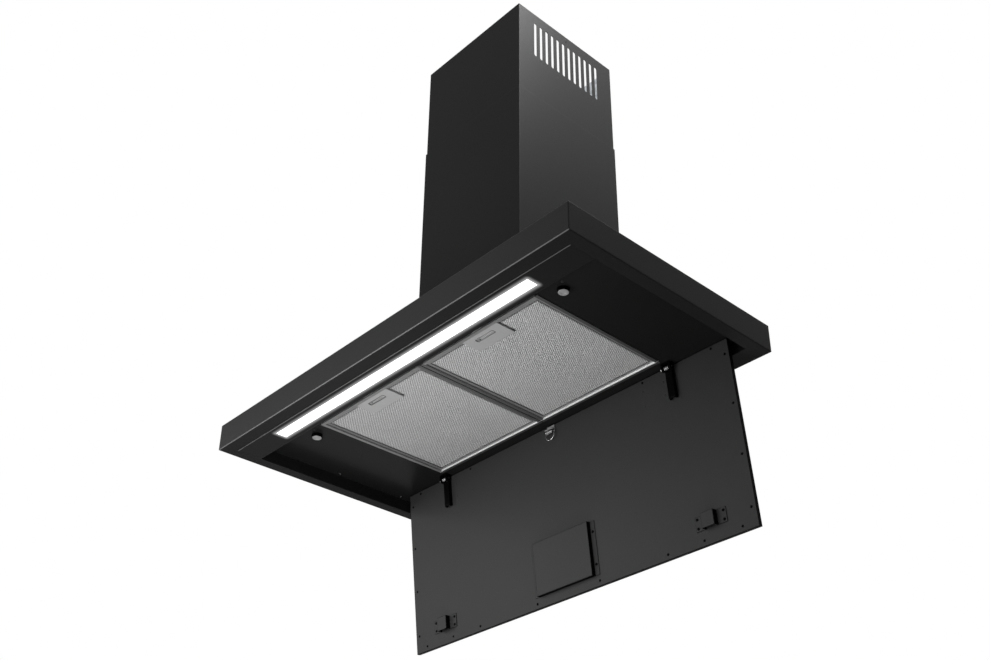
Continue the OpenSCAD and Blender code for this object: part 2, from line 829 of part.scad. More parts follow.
// Screws through the angles' feet into the canopy's top
module chimney_screws()
    color(zinc) at_wall()
        for (side = [-1, 1], end = [-1, 1])
            translate([side * (lower_w / 2 - cover_t - angle_foot / 2), slot_mid + end * angle_l / 3,
                    canopy_h + angle_t])
                cylinder(h = 2 * screw_head_h, d = 2 * screw_d);

module panel_outer()
    color(matt_black) opened() difference() {
        slab([-panel_w / 2, -panel_front, outer_z], [panel_w / 2, -panel_rear, inner_z]);
        slab([-panel_w / 2 + skin_t, -panel_front + skin_t, outer_z + skin_t],
            [panel_w / 2 - skin_t, -panel_rear - skin_t, inner_z - 2 * skin_t]);
        slab([-panel_w / 2 + rim_w, -panel_front + rim_w, outer_z + skin_t],
            [panel_w / 2 - rim_w, -panel_rear - rim_w, inner_z + overrun]);
        slab([-panel_w / 2 + skin_t, -panel_front + skin_t, inner_z - skin_t],
            [panel_w / 2 - skin_t, -panel_rear - skin_t, inner_z + overrun]);
    }

module panel_inner()
    color(panel_black) opened()
        slab([-panel_w / 2 + skin_t + skin_gap, -panel_front + skin_t + skin_gap, inner_z - skin_t],
            [panel_w / 2 - skin_t - skin_gap, -panel_rear - skin_t - skin_gap, inner_z]);

module panel_rivets()
    color(matt_black) opened()
        translate([0, 0, inner_z]) {
            for (k = rivet_steps)
                translate([k * rivet_pitch, -panel_front + rivet_edge, 0])
                    cylinder(h = rivet_h, d = rivet_d);
            for (side = [-1, 1], k = [0:side_rivets - 1])
                translate([side * (panel_w / 2 - rivet_edge),
                        -panel_rear - side_rivet_first - k * side_rivet_pitch, 0])
                    cylinder(h = rivet_h, d = rivet_d);
            for (side = [-1, 1], share = top_rivet_shares)
                translate([side * share * panel_w / 2, -panel_rear - top_rivet_edge, 0])
                    cylinder(h = rivet_h, d = rivet_d);
        }

// Folded arm on the panel that turns on the hinge pin
module hinge_arms()
    color(satin_black) opened()
        for (side = [-1, 1])
            translate([side * arm_x, 0, 0]) difference() {
                union() {
                    translate([0, -hinge_y, hinge_h]) bar_x(-arm_w / 2, arm_w / 2, 2 * arm_eye_r);
                    slab([-arm_w / 2, -hinge_y - arm_l + arm_h / 2, inner_z],
                        [arm_w / 2, -hinge_y + arm_rear, inner_z + arm_h]);
                    translate([0, -hinge_y - arm_l + arm_h / 2, inner_z + arm_h / 2])
                        bar_x(-arm_w / 2, arm_w / 2, arm_h);
                }
                slab([-arm_w / 2 + arm_t, -hinge_y - arm_l - overrun, inner_z - overrun],
                    [arm_w / 2 - arm_t, -hinge_y + arm_eye_r + overrun, inner_z + arm_h - arm_t]);
                slab([-arm_w / 2 + arm_t, -hinge_y - arm_eye_r - arm_gap, inner_z - overrun],
                    [arm_w / 2 - arm_t, -hinge_y + arm_eye_r + overrun, hinge_h + arm_eye_r + overrun]);
                translate([0, -hinge_y, hinge_h]) bar_x(-arm_w, arm_w, pin_d + 2 * run_gap);
            }

// Raised strikes that the magnets hold, with their feet on the panel
module strike_brackets()
    color(matt_black) opened()
        for (side = [-1, 1])
            translate([side * magnet_x, -magnet_y, inner_z]) difference() {
                union() {
                    slab([-strike_foot_w / 2, -strike_foot_l / 2, 0],
                        [strike_foot_w / 2, strike_foot_l / 2, strike_t]);
                    slab([-strike_w / 2, -strike_foot_l / 2, 0], [strike_w / 2, strike_foot_l / 2, strike_h]);
                }
                slab([-strike_w / 2 + strike_t, -strike_foot_l / 2 - overrun, -overrun],
                    [strike_w / 2 - strike_t, strike_foot_l / 2 - strike_t, strike_h - strike_t]);
            }

module strike_screws()
    color(matt_black) opened()
        for (side = [-1, 1], x = [-1, 1], y = [-1, 1])
            translate([side * magnet_x + x * strike_screw_x, -magnet_y + y * strike_screw_y,
                    inner_z + strike_t])
                cylinder(h = screw_head_h, d = screw_head_d);

// Flat cover over the middle of the panel
module panel_box_cover()
    color(panel_black) opened()
        translate([0, -box_cover_y, inner_z]) difference() {
            union() {
                slab([-box_cover_w / 2, -box_cover_l / 2, 0],
                    [box_cover_w / 2, box_cover_l / 2, box_cover_h]);
                slab([-box_cover_w / 2 - box_flange_w, -box_cover_l / 2, 0],
                    [box_cover_w / 2 + box_flange_w, box_cover_l / 2, skin_t]);
            }
            slab([-box_cover_w / 2 + skin_t, -box_cover_l / 2 + skin_t, -overrun],
                [box_cover_w / 2 - skin_t, box_cover_l / 2 - skin_t, box_cover_h - skin_t]);
        }

module box_cover_screws()
    color(satin_black) opened()
        for (side = [-1, 1], end = [-1, 1])
            translate([side * (box_cover_w + box_flange_w) / 2,
                    -box_cover_y + end * box_cover_l * cover_screw_share, inner_z + skin_t])
                cylinder(h = screw_head_h, d = screw_head_d);

// Small bracket in the middle of the panel's hinge edge
module centre_tab()
    color(satin_black) opened() {
        slab([-tab_width / 2, -panel_rear - tab_s, inner_z],
            [tab_width / 2, -panel_rear - tab_sheet, inner_z + tab_sheet]);
        slab([-tab_width / 2, -panel_rear - tab_s, inner_z],
            [tab_width / 2, -panel_rear - tab_s + tab_sheet, inner_z + bush_rise + bush_d / 2]);
    }

// Bright bush that carries the ring's ends
module centre_bush()
    color(bright_steel) opened()
        difference() {
            translate([0, -panel_rear - bush_s, inner_z + bush_rise]) difference() {
                bar_x(-bush_l / 2, bush_l / 2, bush_d);
                bar_x(-bush_l, bush_l, bail_wire_d + 2 * run_gap);
            }
            slab([-bush_l, -panel_rear - tab_s, inner_z], [bush_l, -panel_rear, ceiling_h]);
        }

// Wire ring that hangs from the bush
module centre_bail()
    color(bright_steel) opened()
        translate([0, -panel_rear - bush_s, inner_z + bush_rise]) rotate([90 - open_angle, 0, 0]) {
            for (side = [-1, 1]) {
                bar_x(side * bail_r - (side > 0 ? bail_pin_l + bail_wire_d / 2 : bail_wire_d / 2),
                    side * bail_r + (side > 0 ? bail_wire_d / 2 : bail_pin_l + bail_wire_d / 2), bail_wire_d);
                translate([side * bail_r, 0, 0]) bar_y(-bail_drop, 0, bail_wire_d);
            }
            translate([0, -bail_drop, 0]) rotate([0, 0, 180])
                rotate_extrude(angle = 180) translate([bail_r, 0]) circle(d = bail_wire_d);
        }

module upper_chimney()
    color(matt_black) at_wall() difference() {
        cover(upper_w, upper_d, upper_rear, upper_bottom, chimney_top);
        for (k = [0:slots - 1])
            translate([0, slot_mid + (k - (slots - 1) / 2) * slot_pitch, chimney_top - slot_top - slot_l / 2])
                rotate([90, 0, 90])
                    translate([0, 0, -upper_w / 2 - overrun])
                        linear_extrude(upper_w + 2 * overrun) slot_outline();
        translate([0, slot_mid, chimney_top - top_screw_h])
            bar_x(-upper_w / 2 - overrun, upper_w / 2 + overrun, screw_d);
    }

module slot_outline() {
    square([slot_w, slot_l - slot_w], center = true);
    for (end = [-1, 1])
        translate([0, end * (slot_l - slot_w) / 2])
            circle(d = slot_w);
}

// Bracket on the wall that holds the upper cover by its sides
module upper_bracket() {
    arm_out = upper_w / 2 - cover_t;
    plate_y = -upper_rear - cover_t;
    color(zinc) at_wall() difference() {
        union() {
            slab([-arm_out, plate_y - bracket_t, chimney_top - bracket_plate_h],
                [arm_out, plate_y, chimney_top]);
            for (side = [-1, 1])
                slab([side * (arm_out - bracket_t / 2) - bracket_t / 2, -bracket_reach,
                        chimney_top - bracket_arm_h],
                    [side * (arm_out - bracket_t / 2) + bracket_t / 2, plate_y, chimney_top]);
            for (side = [-1, 1])
                translate([side * hang_gap / 2, 0, chimney_top - bracket_plate_h / 2])
                    bar_y(plate_y - bracket_t, 0, bracket_boss_d);
        }
        for (side = [-1, 1])
            translate([side * hang_gap / 2, 0, chimney_top - bracket_plate_h / 2])
                bar_y(plate_y - bracket_t - overrun, overrun, bracket_hole_d);
    }
}

module upper_screws()
    color(matt_black) at_wall()
        for (side = [-1, 1])
            translate([side * upper_w / 2, slot_mid, chimney_top - top_screw_h])
                rotate([0, side * 90, 0])
                    cylinder(h = screw_head_h / 2, d = 2 * screw_d);

// Rectangular ring of a filter's frame between two insets from its edge
module frame_ring(outer, inner, low, high)
    difference() {
        slab([-filter_w / 2 + outer, -filter_front + outer, low],
            [filter_w / 2 - outer, -filter_rear - outer, high]);
        slab([-filter_w / 2 + inner, -filter_front + inner, low - overrun],
            [filter_w / 2 - inner, -filter_rear - inner, high + overrun]);
    }

// Frame of a filter, folded round its edge, with a step up to the flange on the mesh
module filter_frame(side) {
    step_z = filter_z + frame_step;
    lip_end = frame_w + frame_lip_w;
    color(zinc) at_wall()
        translate([side * filter_x, 0, 0]) difference() {
            union() {
                frame_ring(0, frame_t, filter_z, filter_top);
                frame_ring(0, frame_w, filter_z, filter_z + frame_t);
                frame_ring(0, frame_w, filter_top - frame_t, filter_top);
                difference() {
                    union() {
                        frame_ring(frame_w - frame_t, frame_w, filter_z, step_z + frame_t);
                        frame_ring(frame_w - frame_t, lip_end, step_z, step_z + frame_t);
                    }
                    slab([-latch_w / 2 - trim_gap, -filter_front, filter_z + frame_t],
                        [latch_w / 2 + trim_gap, -filter_front + lip_end + overrun, filter_top]);
                }
            }
            slab([-bolt_w / 2 - slide_gap, -filter_front - overrun, bolt_z - slide_gap],
                [bolt_w / 2 + slide_gap, -filter_front + frame_w + overrun, bolt_z + bolt_t + slide_gap]);
        }
}

module filter_mesh(side)
    color(aluminium) at_wall()
        translate([side * filter_x, 0, 0]) difference() {
            for (k = [0:mesh_layers - 1]) {
                z = mesh_z + k * (filter_top - frame_t - mesh_t - mesh_z) / (mesh_layers - 1);
                slab([-filter_w / 2 + frame_t, -filter_front + frame_t, z],
                    [filter_w / 2 - frame_t, -filter_rear - frame_t, z + mesh_t]);
            }
            slab([-latch_w / 2 - trim_gap, -filter_front - overrun, filter_z - overrun],
                [latch_w / 2 + trim_gap, -latch_rear + trim_gap, filter_top + overrun]);
        }

// Latch plate with its finger slot and the walls that guide the slide
module latch_plate(side)
    color(aluminium) at_wall()
        translate([side * filter_x, 0, 0]) {
            difference() {
                slab([-latch_w / 2, -latch_front, filter_z], [latch_w / 2, -latch_rear, filter_z + latch_h]);
                slab([-slide_w / 2 - slide_gap, -latch_front - overrun, filter_z + latch_plate_t],
                    [slide_w / 2 + slide_gap, -latch_rear - latch_wall, filter_z + latch_h + overrun]);
                slab([-finger_w / 2, -finger_y - finger_l / 2, filter_z - overrun],
                    [finger_w / 2, -finger_y + finger_l / 2, filter_z + latch_plate_t + overrun]);
            }
        }

// Tabs behind a filter that hook over the ceiling
module filter_tabs(side)
    color(zinc) at_wall()
        translate([side * filter_x, 0, 0])
            for (x = [-1, 1]) {
                slab([x * tab_x - tab_w / 2, -filter_rear, liner_top + tab_lift],
                    [x * tab_x + tab_w / 2, -filter_rear + tab_l, liner_top + tab_lift + tab_t]);
            }

// Slide with its bolt and finger cup
module latch_slide(side)
    color(bright_steel) at_wall()
        translate([side * filter_x, 0, 0]) {
            difference() {
                slab([-slide_w / 2, -slide_front, slide_z], [slide_w / 2, -slide_rear, slide_z + slide_t]);
                slab([-finger_w / 2 + cup_wall, -finger_y - finger_l / 2, slide_z - overrun],
                    [finger_w / 2 - cup_wall, -finger_y + finger_l / 2, slide_z + cup_depth]);
            }
            slab([-bolt_w / 2, -bolt_tip, bolt_z], [bolt_w / 2, -slide_front + slide_w / 4, bolt_z + bolt_t]);
        }

module latch_spring(side)
    color(bright_steel) at_wall()
        for (x = [-1, 1])
            translate([side * filter_x + x * spring_x, -slide_rear, spring_z])
                rotate([0, 0, 90])
                    coil(spring_d - spring_wire_d, spring_wire_d, spring_turns,
                        slide_rear - latch_rear - latch_wall);

module filter_frame_left() filter_frame(-1);
module filter_frame_right() filter_frame(1);
module filter_mesh_left() filter_mesh(-1);
module filter_mesh_right() filter_mesh(1);
module latch_plate_left() latch_plate(-1);
module latch_plate_right() latch_plate(1);
module filter_tabs_left() filter_tabs(-1);
module filter_tabs_right() filter_tabs(1);
module latch_slide_left() latch_slide(-1);
module latch_slide_right() latch_slide(1);
module latch_spring_left() latch_spring(-1);
module latch_spring_right() latch_spring(1);

// Points of one side of a blade, from the rim inwards
function blade_side(turn, step) =
    [for (i = [0:blade_points - 1])
        let (r = impeller_d / 2 - blade_inset - blade_depth * i / (blade_points - 1),
            a = turn + 360 * blade_lean_share / blades * pow(i / (blade_points - 1), 2) + step)
        r * [cos(a), sin(a)]];

module impeller()
    color(bright_steel) at_wall()
        translate([0, -box_mid, wheel_h]) {
            step = 360 * blade_t / (PI * impeller_d);
            translate([-impeller_w / 2, 0, 0]) rotate([90, 0, 90]) {
                linear_extrude(impeller_w)
                    for (k = [0:blades - 1])
                        polygon(concat(blade_side(k * 360 / blades, 0),
                            [for (i = [blade_points - 1:-1:0]) blade_side(k * 360 / blades, step)[i]]));
                for (x = [0, impeller_w - end_ring_t])
                    translate([0, 0, x]) difference() {
                        cylinder(h = end_ring_t, d = impeller_d);
                        translate([0, 0, -overrun])
                            cylinder(h = end_ring_t + 2 * overrun, d = impeller_d - blade_depth);
                    }
            }
            difference() {
                union() {
                    bar_x(-disc_t / 2, disc_t / 2, impeller_d - blade_depth);
                    bar_x(-hub_d / 3, hub_d / 3, hub_d);
                }
                bar_x(-hub_d, hub_d, shaft_d);
            }
        }

module motor_shaft()
    color(bright_steel) at_wall()
        translate([0, -box_mid, wheel_h])
            bar_x(-motor_l / 2, hub_d / 2, shaft_d);

// Half-round flap on the pin across the outlet
module flap(side)
    color(dark_plastic) at_wall()
        translate([0, -box_mid, flap_z])
            rotate([0, 0, side > 0 ? 0 : 180]) difference() {
                union() {
                    intersection() {
                        translate([0, 0, -flap_t / 2])
                            cylinder(h = flap_t, d = outlet_d - 2 * collar_t - 2 * flap_gap);
                        union() {
                            slab([-outlet_d, flap_notch, -flap_t], [outlet_d, outlet_d, flap_t]);
                            for (x = [-2 * flap_knuckle, 0])
                                slab([x + knuckle_gap, 0, -flap_t],
                                    [x + flap_knuckle - knuckle_gap, flap_notch, flap_t]);
                        }
                    }
                    for (x = [-2 * flap_knuckle, 0])
                        bar_x(x + knuckle_gap, x + flap_knuckle - knuckle_gap, 2 * flap_sleeve_r);
                }
                bar_x(-outlet_d, outlet_d, flap_pin_d + 2 * run_gap);
            }

module flap_front() flap(-1);
module flap_rear() flap(1);

canopy_shell();
recess_liner();
liner_screws();
light_plate();
led_diffuser();
led_housing();
led_board();
magnet_holders();
catch_magnets();
hinge_brackets();
hinge_pins();
hinge_springs();
blower_box();
scroll_casing();
inlet_rings();
blower_motor();
motor_bracket();
outlet_collar();
flap_pin();
control_box();
circuit_board();
cable_gland();
wall_brackets();
adjusting_screws();
lower_chimney();
chimney_angles();
chimney_screws();
panel_outer();
panel_inner();
panel_rivets();
hinge_arms();
strike_brackets();
strike_screws();
panel_box_cover();
box_cover_screws();
centre_tab();
centre_bush();
centre_bail();
upper_chimney();
upper_bracket();
upper_screws();
filter_frame_left();
filter_mesh_left();
latch_plate_left();
filter_tabs_left();
filter_frame_right();
filter_mesh_right();
latch_plate_right();
filter_tabs_right();
latch_slide_left();
latch_spring_left();
latch_slide_right();
latch_spring_right();
impeller();
motor_shaft();
flap_front();
flap_rear();
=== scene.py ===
import json
import math
import bmesh
import bpy
from mathutils import Euler, Matrix, Vector


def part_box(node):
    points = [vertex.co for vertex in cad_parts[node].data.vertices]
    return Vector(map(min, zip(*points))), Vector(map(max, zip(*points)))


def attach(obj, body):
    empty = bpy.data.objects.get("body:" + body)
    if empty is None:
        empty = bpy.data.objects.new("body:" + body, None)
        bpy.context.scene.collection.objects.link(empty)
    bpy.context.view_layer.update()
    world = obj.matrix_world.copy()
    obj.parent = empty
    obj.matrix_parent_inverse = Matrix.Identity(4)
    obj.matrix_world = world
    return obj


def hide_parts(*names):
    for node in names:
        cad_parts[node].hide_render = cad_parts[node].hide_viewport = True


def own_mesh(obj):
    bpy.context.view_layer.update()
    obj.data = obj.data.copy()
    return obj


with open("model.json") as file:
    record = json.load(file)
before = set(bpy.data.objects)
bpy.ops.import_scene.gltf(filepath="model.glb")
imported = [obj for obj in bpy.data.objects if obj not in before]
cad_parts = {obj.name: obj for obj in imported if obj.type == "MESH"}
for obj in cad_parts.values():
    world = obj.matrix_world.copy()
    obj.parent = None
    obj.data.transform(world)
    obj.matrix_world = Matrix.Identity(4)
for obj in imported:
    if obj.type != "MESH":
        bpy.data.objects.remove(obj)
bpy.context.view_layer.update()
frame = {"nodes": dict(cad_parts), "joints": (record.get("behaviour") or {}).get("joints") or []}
nodes = frame["nodes"]
joints = {joint["name"]: joint for joint in frame["joints"]}
sides = ("left", "right")
print("hood: frame loaded with", len(nodes), "nodes")


def addObject(name, data):
    thing = bpy.data.objects.new(name, data)
    bpy.context.scene.collection.objects.link(thing)
    return thing


# Camera, where the photographer stood: under the canopy's right front corner

cameraView = {
    "place": (1.3877, -1.4461, -1.0941),
    "turn": (120.508, 0.981, 45.171),  # degrees
    "lens": 44.93,  # mm
    "sensor": 36,  # mm
    "shift": (-0.0630, 0.0597),
    "clip": (0.05, 60),
}


def makeCamera(view):
    lens = bpy.data.cameras.new("photoCamera")
    lens.lens = view["lens"]
    lens.sensor_width = view["sensor"]
    lens.shift_x, lens.shift_y = view["shift"]
    lens.clip_start, lens.clip_end = view["clip"]
    camera = addObject("photoCamera", lens)
    camera.location = view["place"]
    camera.rotation_euler = Euler([math.radians(angle) for angle in view["turn"]], "XYZ")
    bpy.context.scene.camera = camera


makeCamera(cameraView)


# Places on the open panel's inner face, across it and down from its hinge edge

hinge = joints["panel_hinge"]
hingePlace = Vector(hinge["pos_m"])
panelTurn = Matrix.Rotation(math.radians(-hinge["range_deg"][0]), 3, "X")
panelFacing = panelTurn @ Vector((0, 0, 1))
panelEdge = {"back": 0.0065, "rise": 0.0093}  # its hinge edge from the axis, when closed


def panelPoint(across, down):
    return hingePlace + panelTurn @ Vector((across, panelEdge["back"] - down, -panelEdge["rise"]))


# Small helpers for node trees

def link(tree, source, target):
    tree.links.new(source, target)


def feed(tree, value, socket):
    # A number goes into the socket, an output is linked to it
    if hasattr(value, "links"):
        link(tree, value, socket)
    else:
        socket.default_value = value


def addNode(tree, kind, settings=None, **values):
    node = tree.nodes.new(kind)
    for name, value in (settings or {}).items():
        setattr(node, name, value)
    for name, value in values.items():
        feed(tree, value, node.inputs[name.replace("_", " ")])
    return node


def addMath(tree, operation, first, second=None, clamp=False):
    node = addNode(tree, "ShaderNodeMath", {"operation": operation, "use_clamp": clamp})
    feed(tree, first, node.inputs[0])
    if second is not None:
        feed(tree, second, node.inputs[1])
    return node.outputs[0]


def addMix(tree, factor, first, second):
    node = addNode(tree, "ShaderNodeMix", {"data_type": "RGBA"})
    for slot, value in ((0, factor), (6, first), (7, second)):
        feed(tree, value, node.inputs[slot])
    return node.outputs[2]


def addRamp(tree, value, low, high, fromValue=0.0, toValue=1.0):
    # Smooth step of a value between two limits
    node = addNode(tree, "ShaderNodeMapRange", {"interpolation_type": "SMOOTHSTEP"})
    for slot, number in enumerate((value, low, high, fromValue, toValue)):
        feed(tree, number, node.inputs[slot])
    return node.outputs[0]


def addVectorMath(tree, operation, first, second):
    node = addNode(tree, "ShaderNodeVectorMath", {"operation": operation})
    feed(tree, first, node.inputs[0])
    feed(tree, second, node.inputs[1])
    return node.outputs


def addBump(tree, height, **values):
    return addNode(tree, "ShaderNodeBump", Height=height, **values).outputs["Normal"]


def addNoise(tree, place, scale, detail, roughness=0.6):
    values = {"Vector": place, "Scale": scale, "Detail": detail, "Roughness": roughness}
    return addNode(tree, "ShaderNodeTexNoise", **values).outputs["Fac"]


def objectPlace(tree):
    return addNode(tree, "ShaderNodeTexCoord").outputs["Object"]


def splitAxes(tree, vector):
    return addNode(tree, "ShaderNodeSeparateXYZ", Vector=vector).outputs


def rgba(level):
    return (level, level, level, 1)


def makeTree(kind, name, inputs, outputs):
    tree = bpy.data.node_groups.new(name, kind)
    for label, socketKind, value in inputs:
        socket = tree.interface.new_socket(name=label, in_out="INPUT", socket_type=socketKind)
        if value is not None:
            socket.default_value = value
    for label, socketKind in outputs:
        tree.interface.new_socket(name=label, in_out="OUTPUT", socket_type=socketKind)
    return tree, tree.nodes.new("NodeGroupInput").outputs, tree.nodes.new("NodeGroupOutput").inputs


# Shader groups shared by the finishes

surfaceOutputs = [
    ("Color", "NodeSocketColor"),
    ("Roughness", "NodeSocketFloat"),
    ("Normal", "NodeSocketVector"),
]

coatGrain = {"cloudScale": 5, "bevelSamples": 4, "edgePaintGain": 4, "roughnessShare": 0.08, "depth": 0.0002}


def buildPowderCoat(look):
    # Fine orange-peel grain and faint dust, with painted light along folds and edges: a painted highlight in
    # most coats, a painted shadow outline where the edge colour is darker
    tree, given, result = makeTree("ShaderNodeTree", "powderCoat", [
        ("Color", "NodeSocketColor", rgba(0.02)),
        ("Painted Edge Color", "NodeSocketColor", rgba(0.06)),
        ("Roughness", "NodeSocketFloat", 0.5),
        ("Grain Size", "NodeSocketFloat", 0.0006),
        ("Grain Depth", "NodeSocketFloat", 0.25),
        ("Edge Width", "NodeSocketFloat", 0.0007),
        ("Dust", "NodeSocketFloat", 0.12),
    ], surfaceOutputs)
    place = objectPlace(tree)
    grainScale = addMath(tree, "DIVIDE", 1, given["Grain Size"])
    grain = addNoise(tree, place, grainScale, detail=2, roughness=0.5)
    cloud = addNoise(tree, place, look["cloudScale"], detail=4)
    rounded = addNode(tree, "ShaderNodeBevel", {"samples": look["bevelSamples"]}, Radius=given["Edge Width"])
    flat = addNode(tree, "ShaderNodeNewGeometry")
    facing = addVectorMath(tree, "DOT_PRODUCT", rounded.outputs["Normal"], flat.outputs["Normal"])["Value"]
    # Painted light: the edge colour is mixed in along folds and edges, as a highlight or as a shadow outline
    paintedEdgeShare = addMath(tree, "MULTIPLY", addMath(tree, "SUBTRACT", 1, facing), look["edgePaintGain"], clamp=True)
    tint = addMath(tree, "MULTIPLY", addMath(tree, "SUBTRACT", cloud, 0.5), given["Dust"])
    shade = addNode(tree, "ShaderNodeVectorMath", {"operation": "SCALE"}, Vector=given["Color"],
                    Scale=addMath(tree, "ADD", 1, tint))
    link(tree, addMix(tree, paintedEdgeShare, shade.outputs[0], given["Painted Edge Color"]), result["Color"])
    speck = addMath(tree, "MULTIPLY", addMath(tree, "SUBTRACT", grain, 0.5), look["roughnessShare"])
    link(tree, addMath(tree, "ADD", given["Roughness"], speck, clamp=True), result["Roughness"])
    bump = addBump(tree, grain, Distance=look["depth"], Strength=given["Grain Depth"],
                   Normal=rounded.outputs["Normal"])
    link(tree, bump, result["Normal"])
    return tree


brushGrain = {"smudgeScale": 14, "contrast": 2, "middle": 0.25, "roughnessShare": 0.4, "depth": 0.00005}


def buildBrushedGrain(look):
    # Long thin scratches along one axis, as rolled or drawn metal has
    tree, given, result = makeTree("ShaderNodeTree", "brushedGrain", [
        ("Color", "NodeSocketColor", rgba(0.6)),
        ("Streak Color", "NodeSocketColor", rgba(0.5)),
        ("Roughness", "NodeSocketFloat", 0.35),
        ("Stretch", "NodeSocketVector", (40, 2500, 2500)),
        ("Depth", "NodeSocketFloat", 0.15),
    ], surfaceOutputs)
    place = objectPlace(tree)
    stretched = addVectorMath(tree, "MULTIPLY", place, given["Stretch"])["Vector"]
    streak = addNoise(tree, stretched, 1, detail=3)
    smudge = addNoise(tree, place, look["smudgeScale"], detail=3)
    blend = addMath(tree, "MULTIPLY", streak, smudge)
    share = addMath(tree, "MULTIPLY", blend, look["contrast"], clamp=True)
    link(tree, addMix(tree, share, given["Color"], given["Streak Color"]), result["Color"])
    aboveMiddle = addMath(tree, "SUBTRACT", blend, look["middle"])
    spread = addMath(tree, "MULTIPLY", aboveMiddle, look["roughnessShare"])
    link(tree, addMath(tree, "ADD", given["Roughness"], spread, clamp=True), result["Roughness"])
    link(tree, addBump(tree, streak, Distance=look["depth"], Strength=given["Depth"]), result["Normal"])
    return tree


spangleGrain = {"roughnessShare": 0.2, "strength": 0.2, "depth": 0.0001}


def buildZincSpangle(look):
    # The crystal flakes of hot-dip zinc
    tree, given, result = makeTree("ShaderNodeTree", "zincSpangle", [
        ("Dark Color", "NodeSocketColor", (0.26, 0.27, 0.29, 1)),
        ("Light Color", "NodeSocketColor", (0.46, 0.48, 0.50, 1)),
        ("Flake Size", "NodeSocketFloat", 0.007),
        ("Roughness", "NodeSocketFloat", 0.4),
    ], surfaceOutputs)
    flakes = addNode(tree, "ShaderNodeTexVoronoi", {"feature": "F1"}, Vector=objectPlace(tree), Randomness=1,
                     Scale=addMath(tree, "DIVIDE", 1, given["Flake Size"]))
    tone = addNode(tree, "ShaderNodeSeparateColor", Color=flakes.outputs["Color"]).outputs
    link(tree, addMix(tree, tone["Red"], given["Dark Color"], given["Light Color"]), result["Color"])
    spread = addMath(tree, "MULTIPLY", addMath(tree, "SUBTRACT", tone["Green"], 0.5), look["roughnessShare"])
    link(tree, addMath(tree, "ADD", given["Roughness"], spread, clamp=True), result["Roughness"])
    bump = addBump(tree, tone["Blue"], Strength=look["strength"], Distance=look["depth"])
    link(tree, bump, result["Normal"])
    return tree


powderCoat = buildPowderCoat(coatGrain)
brushedGrain = buildBrushedGrain(brushGrain)
zincSpangle = buildZincSpangle(spangleGrain)
print("hood: shader groups built")


# Finishes

def startMaterial(name):
    material = bpy.data.materials.new(name)
    material.use_nodes = True
    tree = material.node_tree
    return material, tree, tree.nodes["Principled BSDF"]


def placeGroup(tree, shader, group, values):
    node = tree.nodes.new("ShaderNodeGroup")
    node.node_tree = group
    for label, value in values.items():
        node.inputs[label].default_value = value
    link(tree, node.outputs["Color"], shader.inputs["Base Color"])
    link(tree, node.outputs["Roughness"], shader.inputs["Roughness"])
    link(tree, node.outputs["Normal"], shader.inputs["Normal"])


def paintOver(tree, shader, mask, level):
    # Gives the masked part another shade
    color = shader.inputs["Base Color"].links[0].from_socket
    link(tree, addMix(tree, mask, color, rgba(level)), shader.inputs["Base Color"])


def addInset(tree, axes, label, low, high):
    # How far a point lies inside a span of one axis
    offset = addMath(tree, "SUBTRACT", axes[label], (low + high) / 2)
    return addMath(tree, "SUBTRACT", (high - low) / 2, addMath(tree, "ABSOLUTE", offset))


# The second number of a row is the level painted along folds and edges: a painted highlight where it is
# lighter than the coat, a painted shadow outline on the raised pieces on the panel
coatLooks = {
    "canopyBlack": {"level": 0.021, "paintedLight": 0.05, "roughness": 0.45, "specular": 0.02},
    # The light plate's coat is darker than the canopy's: painted shade on the underside
    "plateShadedGlowBlack": {"level": 0.0105, "paintedLight": 0.03, "roughness": 0.45, "specular": 0.03},
    # The chimney's coat is darker than the canopy's: painted shade
    "chimneyShadedBlack": {"level": 0.0115, "paintedLight": 0.024, "roughness": 0.45, "specular": 0.02},
    "panelBlack": {"level": 0.030, "paintedLight": 0.05, "roughness": 0.45, "specular": 0.03},
    "raisedBlackShadedWalls": {"level": 0.030, "paintedLight": 0.003, "roughness": 0.45, "specular": 0.03, "edge": 0.0022},
    "linerBlack": {"level": 0.008, "paintedLight": 0.015, "roughness": 0.3, "specular": 0.05, "grain": 0.0005},
    "deepBlack": {"level": 0.0015, "paintedLight": 0.006, "roughness": 0.4, "specular": 0.01},
    # A light grey coat: painted highlight on the light plate's fold
    "foldHighlightBlack": {"level": 0.085, "paintedLight": 0.085, "roughness": 0.5, "specular": 0.03},
    "mouldedBlack": {"level": 0.012, "paintedLight": 0.02, "roughness": 0.5, "specular": 0.2, "grain": 0.0009},
}
usualCoat = {"grain": 0.0006, "edge": 0.0007}  # where a row says nothing else


def makeCoat(name):
    look = usualCoat | coatLooks[name]
    material, tree, shader = startMaterial(name)
    placeGroup(tree, shader, powderCoat, {
        "Color": rgba(look["level"]),
        "Painted Edge Color": rgba(look["paintedLight"]),
        "Roughness": look["roughness"],
        "Grain Size": look["grain"],
        "Edge Width": look["edge"],
    })
    shader.inputs["Specular IOR Level"].default_value = look["specular"]
    return material, tree, shader


# Painted highlight on the fold below the canopy's front, its lightest part, and painted shade on the
# underside, darker than the faces
canopyPaintedLight = {"level": 0.11, "radius": 0.0013, "underShadeLevel": 0.0125, "underFacing": -0.7}


